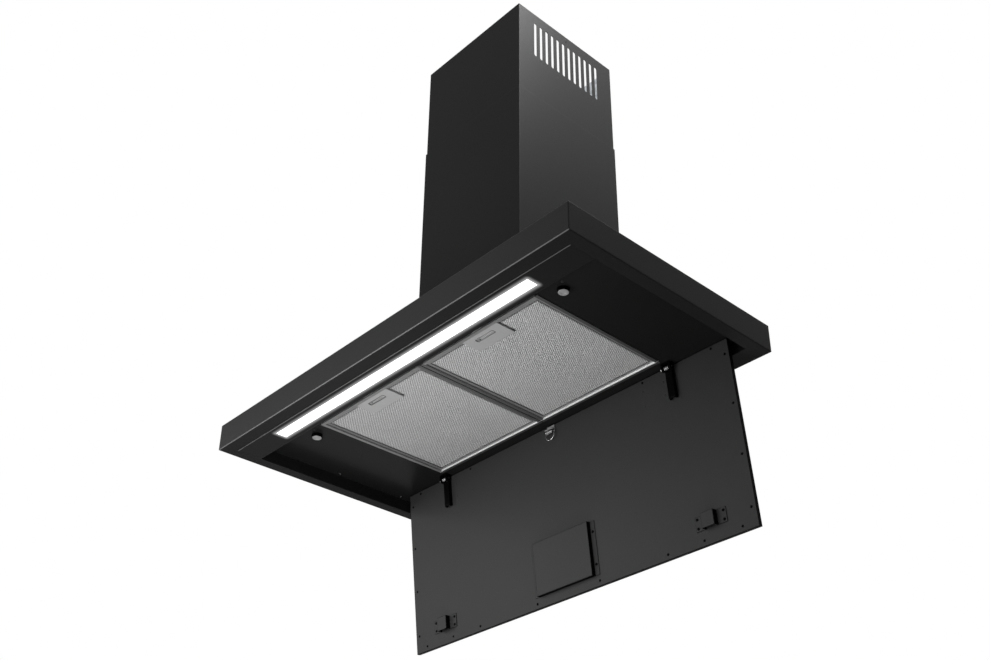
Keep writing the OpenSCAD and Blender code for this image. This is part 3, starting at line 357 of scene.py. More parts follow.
def makeCanopyCoat(name, paintedLight):
    material, tree, shader = makeCoat(name)
    axes = splitAxes(tree, objectPlace(tree))
    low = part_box("canopy_shell")[0]
    nearFront = addMath(tree, "LESS_THAN", axes["Y"], low.y + paintedLight["radius"])
    nearFoot = addMath(tree, "LESS_THAN", axes["Z"], low.z + paintedLight["radius"])
    facing = splitAxes(tree, addNode(tree, "ShaderNodeTexCoord").outputs["Normal"])
    shadedUnder = addMath(tree, "LESS_THAN", facing["Z"], paintedLight["underFacing"])
    # Painted shade on the faces that look down
    paintOver(tree, shader, shadedUnder, paintedLight["underShadeLevel"])
    # Painted highlight on the fold below the front
    paintOver(tree, shader, addMath(tree, "MULTIPLY", nearFront, nearFoot), paintedLight["level"])
    return material


raisedWallShade = {"wall": 0.0015, "limit": 0.6}  # painted shade: the walls of what stands on the panel are painted nearly black


def makeWallShadedCoat(name, raised, facing):
    material, tree, shader = makeCoat(name)
    normal = addNode(tree, "ShaderNodeTexCoord").outputs["Normal"]
    toward = addVectorMath(tree, "DOT_PRODUCT", normal, facing)["Value"]
    # Painted shade on the walls that turn away from the panel's face
    paintOver(tree, shader, addMath(tree, "LESS_THAN", toward, raised["limit"]), raised["wall"])
    return material


# Painted light: the plate's underside glows beside the diffuser's edge, standing in for light spilled from it
plateGlow = {"reach": 0.011, "overlap": 0.002, "plateDepth": 0.0012, "level": 0.36, "strength": 1.0}


def makeGlowPlate(name, glow):
    material, tree, shader = makeCoat(name)
    axes = splitAxes(tree, objectPlace(tree))
    low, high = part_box("led_diffuser")
    squares = []
    for label, start, end in (("X", low.x, high.x), ("Y", low.y, high.y)):
        inset = addInset(tree, axes, label, start, end)
        beside = addMath(tree, "MAXIMUM", addMath(tree, "SUBTRACT", glow["overlap"], inset), 0)
        squares.append(addMath(tree, "MULTIPLY", beside, beside))
    gap = addMath(tree, "SQRT", addMath(tree, "ADD", *squares))
    share = addRamp(tree, gap, 0.0, glow["reach"], 1.0, 0.0)
    below = addMath(tree, "LESS_THAN", axes["Z"], low.z + glow["plateDepth"])
    spill = addMath(tree, "MULTIPLY", addMath(tree, "MULTIPLY", share, share), below)
    # Painted glow, as emission on a plate that is no lamp
    link(tree, addMix(tree, spill, rgba(0.0), rgba(glow["level"])), shader.inputs["Emission Color"])
    shader.inputs["Emission Strength"].default_value = glow["strength"]
    return material


metalLooks = {
    "meshAluminium": {"color": 0.55, "streak": 0.48, "roughness": 0.5, "metallic": 0.35,
                      "stretch": (300, 300, 300)},
    "plateAluminium": {"color": 0.36, "streak": 0.32, "roughness": 0.45, "metallic": 0.4,
                       "stretch": (2200, 60, 2200)},
    "rimAluminium": {"color": 0.16, "streak": 0.12, "roughness": 0.4, "metallic": 0.5,
                     "stretch": (60, 60, 2200)},
    "magnetNickel": {"color": 0.26, "streak": 0.22, "roughness": 0.5, "metallic": 0.3,
                     "stretch": (900, 900, 60)},
    "nickelSteel": {"color": 0.36, "streak": 0.28, "roughness": 0.22, "metallic": 1,
                    "stretch": (900, 900, 60)},
    "motorZinc": {"color": 0.40, "streak": 0.32, "roughness": 0.34, "metallic": 1,
                  "stretch": (50, 1800, 1800)},
    "frameAluminium": {"color": 0.21, "streak": 0.17, "roughness": 0.45, "metallic": 0.5,
                       "stretch": (60, 60, 2200)},
}


def makeMetal(name):
    look = metalLooks[name]
    material, tree, shader = startMaterial(name)
    placeGroup(tree, shader, brushedGrain, {
        "Color": rgba(look["color"]),
        "Streak Color": rgba(look["streak"]),
        "Roughness": look["roughness"],
        "Stretch": look["stretch"],
    })
    shader.inputs["Metallic"].default_value = look["metallic"]
    return material, tree, shader


frameRims = {
    "width": 0.006,
    "gap": 0.001,  # half the gap between the frames
    "wall": 0.0003,  # half the width of the painted highlight along the rear step
    "stepHighlightLevel": 0.9,  # a painted highlight along the rear step, and painted shade on the rims in the hood's shade
    "rearShadeLevel": 0.05,
    "middleShadeLevel": 0.09,
    "rightShadeLevel": 0.06,
}


def makeFilterFrame(name, rims):
    material, tree, shader = makeMetal(name)
    axes = splitAxes(tree, objectPlace(tree))
    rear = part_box("filter_frame_left")[1].y - rims["width"]
    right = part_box("filter_frame_right")[1].x - rims["width"]
    fromMiddle = addMath(tree, "ABSOLUTE", axes["X"])
    fromWall = addMath(tree, "ABSOLUTE", addMath(tree, "SUBTRACT", axes["Y"], rear))
    # Painted shade on the middle, right and rear rims, and a painted highlight along the rear step
    for operation, value, limit, label in (
            ("LESS_THAN", fromMiddle, rims["width"] + rims["gap"], "middleShadeLevel"),
            ("GREATER_THAN", axes["X"], right, "rightShadeLevel"),
            ("GREATER_THAN", axes["Y"], rear + rims["wall"], "rearShadeLevel"),
            ("LESS_THAN", fromWall, rims["wall"], "stepHighlightLevel")):
        paintOver(tree, shader, addMath(tree, operation, value, limit), rims[label])
    return material


zincLook = {"metallic": 0.9}


def makeZinc(name, look):
    material, tree, shader = startMaterial(name)
    placeGroup(tree, shader, zincSpangle, {})
    shader.inputs["Metallic"].default_value = look["metallic"]
    return material


packLook = {
    "cell": (0.0056, 0.0036),  # across and along, metres
    "strand": (0.12, 0.24),  # where a strand's edge starts and ends, as a share of the cell
    "layer": 0.0007,  # depth of the layer that faces up
    # painted shade: the gaps, and the lower strands, darker than the layer that faces up
    "gapShade": 0.01,
    "light": 0.12,
    "top": 0.5,  # level of that layer
    "bump": 0.6,
    "depth": 0.0005,
    "metallic": 0.9,
    "roughness": 0.45,
}


def makeMeshPack(name, look):
    # The lower layers of the filter, seen through the front one: staggered strands, with painted shade in the
    # gaps and on the lower strands
    material, tree, shader = startMaterial(name)
    axes = splitAxes(tree, objectPlace(tree))
    cellX, cellY = look["cell"]
    across = addMath(tree, "DIVIDE", axes["X"], cellX)
    waves = []
    for sign in (1, -1):
        run = addMath(tree, "ADD", across, addMath(tree, "DIVIDE", axes["Y"], sign * cellY))
        waves.append(addRamp(tree, addMath(tree, "PINGPONG", run, 0.5), *look["strand"], 1.0, 0.0))
    strand = addMath(tree, "MAXIMUM", *waves)
    onTop = addMath(tree, "GREATER_THAN", axes["Z"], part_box("filter_mesh_left")[1].z - look["layer"])
    layerShade = addMix(tree, onTop, rgba(look["light"]), rgba(look["top"]))
    link(tree, addMix(tree, strand, rgba(look["gapShade"]), layerShade), shader.inputs["Base Color"])
    bump = addBump(tree, strand, Strength=look["bump"], Distance=look["depth"])
    link(tree, bump, shader.inputs["Normal"])
    shader.inputs["Metallic"].default_value = look["metallic"]
    shader.inputs["Roughness"].default_value = look["roughness"]
    return material


lightLook = {"strength": 1.25, "lit": (1, 0.99, 0.975, 1), "edgeLevel": 0.3, "edge": 0.0045,
             "base": (0.85, 0.85, 0.84, 1), "roughness": 0.5}


def makeDiffuser(name, look):
    # Lit opal acrylic, weaker along its edges
    material, tree, shader = startMaterial(name)
    axes = splitAxes(tree, objectPlace(tree))
    low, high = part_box("led_diffuser")
    inset = addMath(tree, "MINIMUM", addInset(tree, axes, "X", low.x, high.x),
                    addInset(tree, axes, "Y", low.y, high.y))
    inside = addRamp(tree, inset, 0.0, look["edge"])
    link(tree, addMix(tree, inside, rgba(look["edgeLevel"]), look["lit"]), shader.inputs["Emission Color"])
    shader.inputs["Emission Strength"].default_value = look["strength"]
    shader.inputs["Base Color"].default_value = look["base"]
    shader.inputs["Roughness"].default_value = look["roughness"]
    return material


boardLook = {"mask": (0.02, 0.14, 0.06, 1), "track": (0.05, 0.26, 0.11, 1), "pitch": 160,
             "disorder": 0.35, "trackWidth": 0.08, "roughness": 0.35}


def makeBoard(name, look):
    material, tree, shader = startMaterial(name)
    lines = addNode(tree, "ShaderNodeTexVoronoi", {"feature": "DISTANCE_TO_EDGE"}, Vector=objectPlace(tree),
                    Scale=look["pitch"], Randomness=look["disorder"])
    track = addMath(tree, "LESS_THAN", lines.outputs["Distance"], look["trackWidth"])
    link(tree, addMix(tree, track, look["mask"], look["track"]), shader.inputs["Base Color"])
    shader.inputs["Roughness"].default_value = look["roughness"]
    return material


finishes = {
    "canopyBlack": makeCanopyCoat("canopyBlack", canopyPaintedLight),
    "plateShadedGlowBlack": makeGlowPlate("plateShadedGlowBlack", plateGlow),
    "raisedBlackShadedWalls": makeWallShadedCoat("raisedBlackShadedWalls", raisedWallShade, panelFacing),
    "frameAluminium": makeFilterFrame("frameAluminium", frameRims),
    "spangledZinc": makeZinc("spangledZinc", zincLook),
    "meshPack": makeMeshPack("meshPack", packLook),
    "litOpal": makeDiffuser("litOpal", lightLook),
    "greenBoard": makeBoard("greenBoard", boardLook),
}
for looks, makePlain in ((coatLooks, makeCoat), (metalLooks, makeMetal)):
    for name in looks:
        if name not in finishes:
            finishes[name] = makePlain(name)[0]
print("hood: finishes made:", len(finishes))


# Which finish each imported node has

finishOf = {
    "canopyBlack": ["canopy_shell"],
    "chimneyShadedBlack": ["lower_chimney", "upper_chimney", "upper_screws", "chimney_screws", "chimney_angles"],
    "linerBlack": ["recess_liner", "liner_screws"],
    "plateShadedGlowBlack": ["light_plate"],
    "deepBlack": ["panel_rivets", "box_cover_screws", "strike_screws", "magnet_holders", "hinge_brackets",
                  "hinge_arms", "panel_outer"],
    "panelBlack": ["panel_inner"],
    "raisedBlackShadedWalls": ["panel_box_cover", "strike_brackets"],
    "mouldedBlack": ["control_box", "cable_gland", "impeller", "flap_front", "flap_rear", "outlet_collar",
                     "inlet_rings"],
    "litOpal": ["led_diffuser"],
    "magnetNickel": ["centre_tab"],
    "nickelSteel": ["catch_magnets", "hinge_pins", "hinge_springs", "centre_bush", "centre_bail",
                    "adjusting_screws", "motor_shaft", "flap_pin", "latch_spring_left",
                    "latch_spring_right"],
    "motorZinc": ["blower_motor", "motor_bracket"],
    "frameAluminium": ["filter_frame_left", "filter_frame_right", "filter_tabs_left", "filter_tabs_right"],
    "plateAluminium": ["latch_plate_left", "latch_plate_right", "latch_slide_left", "latch_slide_right"],
    "meshPack": ["filter_mesh_left", "filter_mesh_right"],
    "spangledZinc": ["blower_box", "scroll_casing", "wall_brackets", "upper_bracket", "led_housing"],
    "greenBoard": ["circuit_board", "led_board"],
}


def dressNodes(table):
    for finish, names in table.items():
        for name in names:
            if nodes[name].data.materials:
                nodes[name].material_slots[0].material = finishes[finish]
            else:
                nodes[name].data.materials.append(finishes[finish])


dressNodes(finishOf)
bare = sorted(set(nodes) - {name for names in finishOf.values() for name in names})
print("hood: nodes dressed; without a finish:", bare)


# Geometry Nodes helpers

def makeGeometryTree(name, inputs):
    geometry = ("Geometry", "NodeSocketGeometry")
    given = [(*geometry, None), *inputs, ("Finish", "NodeSocketMaterial", None)]
    return makeTree("GeometryNodeTree", name, given, [geometry])


def endTree(tree, geometry, given, result):
    real = addNode(tree, "GeometryNodeRealizeInstances", Geometry=geometry)
    painted = addNode(tree, "GeometryNodeSetMaterial", Geometry=real.outputs[0], Material=given["Finish"])
    link(tree, painted.outputs[0], result["Geometry"])


def endOnSeats(tree, shape, given, result):
    # Puts the shape on each seat, along the way that the seat faces
    facing = addNode(tree, "GeometryNodeInputNamedAttribute", {"data_type": "FLOAT_VECTOR"}, Name="facing")
    turn = addNode(tree, "FunctionNodeAlignEulerToVector", {"axis": "Z"}, Vector=facing.outputs["Attribute"])
    spread = addNode(tree, "GeometryNodeInstanceOnPoints", Points=given["Geometry"], Instance=shape,
                     Rotation=turn.outputs["Rotation"])
    endTree(tree, spread.outputs[0], given, result)


def addVector(tree, x, y, z):
    return addNode(tree, "ShaderNodeCombineXYZ", X=x, Y=y, Z=z).outputs[0]


def addTransform(tree, geometry, **values):
    return addNode(tree, "GeometryNodeTransform", Geometry=geometry, **values).outputs[0]


def addSmooth(tree, geometry):
    return addNode(tree, "GeometryNodeSetShadeSmooth", Geometry=geometry).outputs[0]


def addTube(tree, path, radius, sides, capped):
    wire = addNode(tree, "GeometryNodeCurvePrimitiveCircle", Resolution=sides, Radius=radius)
    return addNode(tree, "GeometryNodeCurveToMesh", Curve=path, Profile_Curve=wire.outputs["Curve"],
                   Fill_Caps=capped).outputs[0]


def growPiece(name, startMesh, tree, values):
    # Runs the tree once and keeps its result as a plain mesh
    piece = addObject(name, startMesh)
    modifier = piece.modifiers.new(name, "NODES")
    modifier.node_group = tree
    for item in tree.interface.items_tree:
        if item.item_type == "SOCKET" and item.in_out == "INPUT" and item.name in values:
            modifier[item.identifier] = values[item.name]
    depsgraph = bpy.context.evaluated_depsgraph_get()
    grown = bpy.data.meshes.new_from_object(piece.evaluated_get(depsgraph), depsgraph=depsgraph)
    piece.modifiers.remove(modifier)
    piece.data = grown
    grown.name = name
    return piece


def seatMesh(name, seats):
    # A vertex for each seat: its place, and the way that its piece faces
    mesh = bpy.data.meshes.new(name)
    mesh.from_pydata([tuple(seat[0]) for seat in seats], [], [])
    facing = mesh.attributes.new("facing", "FLOAT_VECTOR", "POINT")
    for item, seat in zip(facing.data, seats):
        item.vector = seat[1]
    return mesh


def keepShape(shape, name):
    # Turns an edited shape into an object
    bmesh.ops.recalc_face_normals(shape, faces=shape.faces)
    mesh = bpy.data.meshes.new(name)
    shape.to_mesh(mesh)
    shape.free()
    return addObject(name, mesh)


weldGap = 0.00001  # metres


def solidsOf(nodeName):
    # The corners of each separate solid of a node
    shape = bmesh.new()
    shape.from_mesh(nodes[nodeName].data)
    bmesh.ops.remove_doubles(shape, verts=shape.verts, dist=weldGap)
    seen = set()
    found = []
    for start in shape.verts:
        if start in seen:
            continue
        stack = [start]
        seen.add(start)
        members = []
        while stack:
            vertex = stack.pop()
            members.append(vertex.co.copy())
            others = [edge.other_vert(vertex) for edge in vertex.link_edges]
            fresh = [other for other in others if other not in seen]
            seen.update(fresh)
            stack += fresh
        found.append(members)
    shape.free()
    return found


def middle(members):
    low = Vector([min(point[axis] for point in members) for axis in range(3)])
    high = Vector([max(point[axis] for point in members) for axis in range(3)])
    return (low + high) / 2


def seatOf(members, direction):
    # The middle of the solid's foot, where it meets the sheet
    centre = middle(members)
    lowest = min((point - centre).dot(direction) for point in members)
    return centre + direction * lowest


def addPiece(piece, body, slot, *replaced):
    if replaced:
        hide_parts(*replaced)
    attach(piece, body)


# Domed rivets, and round-headed screws with a cross recess

def buildRivetTree():
    tree, given, result = makeGeometryTree("rivetField", [
        ("Radius", "NodeSocketFloat", 0.002),
        ("Height", "NodeSocketFloat", 0.001),
        ("Rings", "NodeSocketInt", 8),
        ("Segments", "NodeSocketInt", 20),
    ])
    ball = addNode(tree, "GeometryNodeMeshUVSphere", Segments=given["Segments"], Rings=given["Rings"],
                   Radius=1)
    size = addVector(tree, given["Radius"], given["Radius"], given["Height"])
    endOnSeats(tree, addSmooth(tree, addTransform(tree, ball.outputs["Mesh"], Scale=size)), given, result)
    return tree


screwLook = {
    "segments": 28,
    "rings": 14,
    "domeRadius": 1.35,  # this and the lengths below are in radii of the head
    "domeDrop": 0.35,
    "barDepth": 1.1,
    "barLift": 0.95,
}


def buildScrewTree(look):
    tree, given, result = makeGeometryTree("crossScrews", [
        ("Radius", "NodeSocketFloat", 0.0025),
        ("Height", "NodeSocketFloat", 0.0012),
        ("Recess", "NodeSocketFloat", 0.26),
    ])
    drum = addNode(tree, "GeometryNodeMeshCylinder", Vertices=look["segments"], Radius=1, Depth=2)
    ball = addNode(tree, "GeometryNodeMeshUVSphere", Segments=look["segments"], Rings=look["rings"],
                   Radius=look["domeRadius"])
    dome = addTransform(tree, ball.outputs["Mesh"], Translation=(0, 0, -look["domeDrop"]))
    head = addNode(tree, "GeometryNodeMeshBoolean", {"operation": "INTERSECT"}, Mesh_2=drum.outputs["Mesh"])
    link(tree, dome, head.inputs["Mesh 2"])
    cut = addNode(tree, "GeometryNodeMeshBoolean", {"operation": "DIFFERENCE"}, Mesh_1=head.outputs["Mesh"])
    for across, along in ((1, given["Recess"]), (given["Recess"], 1)):
        bar = addNode(tree, "GeometryNodeMeshCube", Size=addVector(tree, across, along, look["barDepth"]))
        raised = addTransform(tree, bar.outputs["Mesh"], Translation=(0, 0, look["barLift"]))
        link(tree, raised, cut.inputs["Mesh 2"])
    size = addVector(tree, given["Radius"], given["Radius"], given["Height"])
    endOnSeats(tree, addTransform(tree, cut.outputs["Mesh"], Scale=size), given, result)
    return tree


studTrees = {"rivet": buildRivetTree(), "screw": buildScrewTree(screwLook)}

down = Vector((0, 0, -1))
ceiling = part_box("magnet_holders")[1].z
magnetPlaces = [middle(members) for members in solidsOf("catch_magnets")]
magnetRivet = (0.0125, -0.0145)  # from the magnet's middle, across and along
armFootRivets = [(0.219, 0.022), (0.219, 0.050), (0.264, 0.022), (0.264, 0.047)]  # across and down

studRows = {
    "panel_rivet_domes": {
        "kind": "rivet", "from": "panel_rivets", "facing": panelFacing, "radius": 0.0023, "height": 0.00115,
        "finish": "deepBlack", "slot": "matt_black_steel", "body": "suction_panel"},
    "strike_screw_heads": {
        "kind": "screw", "from": "strike_screws", "facing": panelFacing, "radius": 0.0024, "height": 0.0012,
        "finish": "deepBlack", "slot": "satin_black_steel", "body": "suction_panel"},
    "box_cover_screw_heads": {
        "kind": "screw", "from": "box_cover_screws", "facing": panelFacing, "radius": 0.0024,
        "height": 0.0012, "finish": "deepBlack", "slot": "satin_black_steel", "body": "suction_panel"},
    "liner_screw_heads": {
        "kind": "screw", "from": "liner_screws", "facing": down, "radius": 0.0028, "height": 0.0013,
        "finish": "nickelSteel", "slot": "bright_steel", "body": "hood_body"},
    "arm_foot_rivets": {
        "kind": "rivet",
        "seats": [(panelPoint(end * across, below), panelFacing)
                  for end in (-1, 1) for across, below in armFootRivets],
        "radius": 0.0019, "height": 0.0008, "finish": "panelBlack", "slot": "satin_black_steel",
        "body": "suction_panel"},
    "magnet_holder_rivets": {
        "kind": "rivet",
        "seats": [(Vector((place.x + magnetRivet[0], place.y + magnetRivet[1], ceiling)), down)
                  for place in magnetPlaces],
        "radius": 0.0026, "height": 0.0012, "finish": "mouldedBlack", "slot": "satin_black_steel",
        "body": "hood_body"},
    "upper_screw_heads": {
        "kind": "screw", "from": "upper_screws", "facing": "outward", "radius": 0.0038, "height": 0.0006,
        "finish": "chimneyShadedBlack", "slot": "satin_black_steel", "body": "upper_cover"},
}


def studSeats(row):
    # Outward is away from the hood's middle, to either side
    seats = []
    for members in solidsOf(row["from"]):
        facing = row["facing"]
        if facing == "outward":
            facing = Vector((math.copysign(1, middle(members).x), 0, 0))
        seats.append((seatOf(members, facing), facing))
    return seats


def makeStuds(name, row):
    seats = row["seats"] if "seats" in row else studSeats(row)
    piece = growPiece(name, seatMesh(name + "Seats", seats), studTrees[row["kind"]], {
        "Radius": row["radius"],
        "Height": row["height"],
        "Finish": finishes[row["finish"]],
    })
    replaced = [row["from"]] if "from" in row else []
    addPiece(piece, row["body"], row["slot"], *replaced)
    print("hood:", name, len(seats))


for name, row in studRows.items():
    makeStuds(name, row)


# Coil springs: those between the cheeks of the hinge arms, and those behind the latch slides

def buildSpringTree():
    tree, given, result = makeGeometryTree("coilSpring", [
        ("Turns", "NodeSocketFloat", 3.0),
        ("Mean Radius", "NodeSocketFloat", 0.004),
        ("Wire Radius", "NodeSocketFloat", 0.0009),
        ("Length", "NodeSocketFloat", 0.01),
        ("Steps", "NodeSocketInt", 20),
        ("Sides", "NodeSocketInt", 10),
    ])
    rise = addMath(tree, "SUBTRACT", given["Length"], addMath(tree, "MULTIPLY", given["Wire Radius"], 2))
    path = addNode(tree, "GeometryNodeCurveSpiral", Resolution=given["Steps"], Rotations=given["Turns"],
                   Start_Radius=given["Mean Radius"], End_Radius=given["Mean Radius"], Height=rise)
    tube = addTube(tree, path.outputs["Curve"], given["Wire Radius"], given["Sides"], True)
    centre = addVector(tree, 0, 0, addMath(tree, "MULTIPLY", rise, -0.5))
    endOnSeats(tree, addSmooth(tree, addTransform(tree, tube, Translation=centre)), given, result)
    return tree


springTree = buildSpringTree()


def growCoils(name, node, along, length, radius, look):
    # A coil in the place of each solid spring of a node
    seats = [(middle(members), along) for members in solidsOf(node)]
    return growPiece(name, seatMesh(name + "Seats", seats), springTree, {
        "Turns": look["turns"],
        "Mean Radius": radius,
        "Wire Radius": look["wireRadius"],
        "Length": length,
        "Steps": look["stepsPerTurn"],
        "Sides": look["sides"],
        "Finish": finishes["nickelSteel"],
    })


hingeSpringLook = {"turns": 3.5, "meanRadius": 0.0038, "wireRadius": 0.00088, "sides": 10, "stepsPerTurn": 20}


def makeHingeSprings(look):
    places = [point.x for point in solidsOf("hinge_springs")[0]]
    length = max(places) - min(places)
    piece = growCoils("hinge_coils", "hinge_springs", Vector((1, 0, 0)), length, look["meanRadius"], look)
    addPiece(piece, "hood_body", "bright_steel", "hinge_springs")
    print("hood: hinge coils, length", round(length, 4))


makeHingeSprings(hingeSpringLook)

latchSpringLook = {"turns": 6.5, "wireRadius": 0.00035, "sides": 8, "stepsPerTurn": 16, "play": 0.0001}


def makeLatchSpring(side, look):
    # It is fixed to its filter's body
    node = "latch_spring_" + side
    low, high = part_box(node)
    length = high.y - low.y
    radius = (high.z - low.z) / 2 - look["wireRadius"]
    piece = growCoils("latch_coil_" + side, node, Vector((0, 1, 0)), length, radius, look)
    addPiece(piece, "filter_" + side, "bright_steel", node)
    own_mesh(piece)


for side in sides:
    makeLatchSpring(side, latchSpringLook)


# Magnet faces: a turned disc with a bevelled rim and a sunk centre

magnetLook = {"bevel": 0.0006, "sunk": 0.0005, "sunkRadius": 0.0042, "segments": 48}


def turnDiscs(name, places, profile, segments):
    # Turns a profile of (radius, height) about Z; it starts and ends on the axis
    turns = [2 * math.pi * step / segments for step in range(segments)]
    shape = bmesh.new()
    for place in places:
        rings = []
        for radius, height in profile:
            corners = [(radius * math.cos(angle), radius * math.sin(angle), height)
                       for angle in (turns if radius else [0])]
            rings.append([shape.verts.new(place + Vector(corner)) for corner in corners])
        for lower, upper in zip(rings, rings[1:]):
            for step in range(segments):
                walk = ((lower, step), (lower, step + 1), (upper, step + 1), (upper, step))
                face = [ring[index % len(ring)] for ring, index in walk]
                shape.faces.new(list(dict.fromkeys(face)))
    return keepShape(shape, name)


def makeMagnets(look):
    low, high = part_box("catch_magnets")
    radius = (high.y - low.y) / 2
    profile = [
        (0, low.z + look["sunk"]),
        (look["sunkRadius"] - look["bevel"], low.z + look["sunk"]),
        (look["sunkRadius"], low.z),
        (radius - look["bevel"], low.z),
        (radius, low.z + look["bevel"]),
        (radius, high.z),
        (0, high.z),
    ]
    places = [Vector((place.x, place.y, 0)) for place in magnetPlaces]
    piece = turnDiscs("magnet_faces", places, profile, look["segments"])
    piece.data.materials.append(finishes["magnetNickel"])
    addPiece(piece, "hood_body", "bright_steel", "catch_magnets")
    print("hood: magnets turned")


makeMagnets(magnetLook)


# Expanded aluminium mesh on the room side of the filters

meshLook = {
    "cell": (0.0056, 0.0036),  # across and along, metres
    "strand": 0.36,  # share of the half cell that is metal
    "bevel": 0.3,  # height of the hole's wall, as a share of the thickness
    "thickness": 0.0005,
    "inset": 0.0116,  # from the frame's edge to its inner flange
    "clear": 0.25,  # cells left open round the latch plate
}


def diamondRing(look):
    # A flat ring with bevelled walls inside its hole, one cell of expanded metal
    halfX, halfY = (size / 2 for size in look["cell"])
    hole = 1 - look["strand"]
    half = look["thickness"] / 2
    outer = [(halfX, 0), (0, halfY), (-halfX, 0), (0, -halfY)]
    points = []
    for z in (-half, half):
        points += [(x, y, z) for x, y in outer]
        points += [(x * hole, y * hole, z * look["bevel"]) for x, y in outer]
    faces = []
    for corner in range(4):
        following = (corner + 1) % 4
        faces.append((following, corner, corner + 4, following + 4))
        faces.append((corner + 8, following + 8, following + 12, corner + 12))
        faces.append((following + 4, corner + 4, corner + 12, following + 12))
    mesh = bpy.data.meshes.new("diamondRing")
    mesh.from_pydata(points, [], faces)
    return mesh


def buildMeshTree():
    # Rings on a staggered grid, apart from those that the latch plate would cover
    tree, given, result = makeGeometryTree("expandedMesh", [
        ("Columns", "NodeSocketInt", 40),
        ("Rows", "NodeSocketInt", 40),
        ("Cell Width", "NodeSocketFloat", 0.005),
        ("Cell Length", "NodeSocketFloat", 0.003),
        ("Centre", "NodeSocketVector", (0, 0, 0)),
        ("Latch Half Width", "NodeSocketFloat", 0.04),
        ("Latch Rear", "NodeSocketFloat", -0.1),
    ])
    merged = tree.nodes.new("GeometryNodeJoinGeometry")
    for shift in (0, 0.5):
        grid = tree.nodes.new("GeometryNodeMeshGrid")
        for count, cell, size, number in (("Columns", "Cell Width", "Size X", "Vertices X"),
                                          ("Rows", "Cell Length", "Size Y", "Vertices Y")):
            spaces = addMath(tree, "SUBTRACT", given[count], 1 + 2 * shift)
            link(tree, addMath(tree, "MULTIPLY", spaces, given[cell]), grid.inputs[size])
            link(tree, addMath(tree, "SUBTRACT", given[count], 2 * shift), grid.inputs[number])
        points = addNode(tree, "GeometryNodeMeshToPoints", Mesh=grid.outputs["Mesh"])
        link(tree, points.outputs[0], merged.inputs[0])
    axes = splitAxes(tree, tree.nodes.new("GeometryNodeInputPosition").outputs[0])
    inWidth = addMath(tree, "LESS_THAN", addMath(tree, "ABSOLUTE", axes["X"]), given["Latch Half Width"])
    inLength = addMath(tree, "LESS_THAN", axes["Y"], given["Latch Rear"])
    thinned = addNode(tree, "GeometryNodeDeleteGeometry", Geometry=merged.outputs[0],
                      Selection=addMath(tree, "MULTIPLY", inWidth, inLength))
    spread = addNode(tree, "GeometryNodeInstanceOnPoints", Points=thinned.outputs[0],
                     Instance=given["Geometry"])
    endTree(tree, addTransform(tree, spread.outputs[0], Translation=given["Centre"]), given, result)
    return tree


meshTree = buildMeshTree()


def makeFilterMesh(side, look):
    low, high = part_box("filter_frame_" + side)
    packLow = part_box("filter_mesh_" + side)[0]
    plateLow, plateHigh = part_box("latch_plate_" + side)
    cellX, cellY = look["cell"]
    centre = (low + high) / 2
    centre.z = packLow.z - look["thickness"] / 2
    piece = growPiece("mesh_face_" + side, diamondRing(look), meshTree, {
        "Columns": int((high.x - low.x - 2 * look["inset"]) / cellX),
        "Rows": int((high.y - low.y - 2 * look["inset"]) / cellY),
        "Cell Width": cellX,
        "Cell Length": cellY,
        "Centre": centre,
        "Latch Half Width": (plateHigh.x - plateLow.x) / 2 + look["clear"] * cellX,
        "Latch Rear": plateHigh.y + look["clear"] * cellY - centre.y,
        "Finish": finishes["meshAluminium"],
    })
    addPiece(piece, "filter_" + side, "aluminium_mesh")
    print("hood: filter mesh", side, "with", len(piece.data.polygons), "faces")


for side in sides:
    makeFilterMesh(side, meshLook)


# Rolled rims of the finger slots in the latch plates

rimLook = {
    "width": 0.041,
    "length": 0.008,
    "inset": 0.013,  # from the latch plate's front
    "corner": 0.002,
    "cornerSteps": 6,
    "radius": 0.0007,
    "sides": 10,
}


def buildRimTree(look):
    tree, given, result = makeGeometryTree("slotRim", [
        ("Width", "NodeSocketFloat", 0.04),
        ("Length", "NodeSocketFloat", 0.008),
        ("Corner", "NodeSocketFloat", 0.002),
        ("Radius", "NodeSocketFloat", 0.0007),
        ("Sides", "NodeSocketInt", 10),
    ])
    path = addNode(tree, "GeometryNodeCurvePrimitiveQuadrilateral", Width=given["Width"],
                   Height=given["Length"])
    rounded = addNode(tree, "GeometryNodeFilletCurve", {"mode": "POLY"}, Curve=path.outputs[0],
                      Radius=given["Corner"], Count=look["cornerSteps"])
    tube = addTube(tree, rounded.outputs[0], given["Radius"], given["Sides"], False)
    endOnSeats(tree, addSmooth(tree, tube), given, result)
    return tree


rimTree = buildRimTree(rimLook)


def makeSlotRim(side, look):
    low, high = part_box("latch_plate_" + side)
    seat = Vector(((low.x + high.x) / 2, low.y + look["inset"], low.z))
    piece = growPiece("finger_rim_" + side, seatMesh("rimSeat", [(seat, Vector((0, 0, 1)))]), rimTree, {
        "Width": look["width"],
        "Length": look["length"],
        "Corner": look["corner"],
        "Radius": look["radius"],
        "Sides": look["sides"],
        "Finish": finishes["rimAluminium"],
    })
    addPiece(piece, "filter_" + side, "aluminium_trim")


for side in sides:
    makeSlotRim(side, rimLook)
print("hood: finger slots rimmed")


# Half-round fold along the light plate's front edge, behind the canopy's lip; its light grey coat is a
# painted highlight along the fold

foldLook = {"radius": 0.0009, "steps": 9, "lip": 0.027}


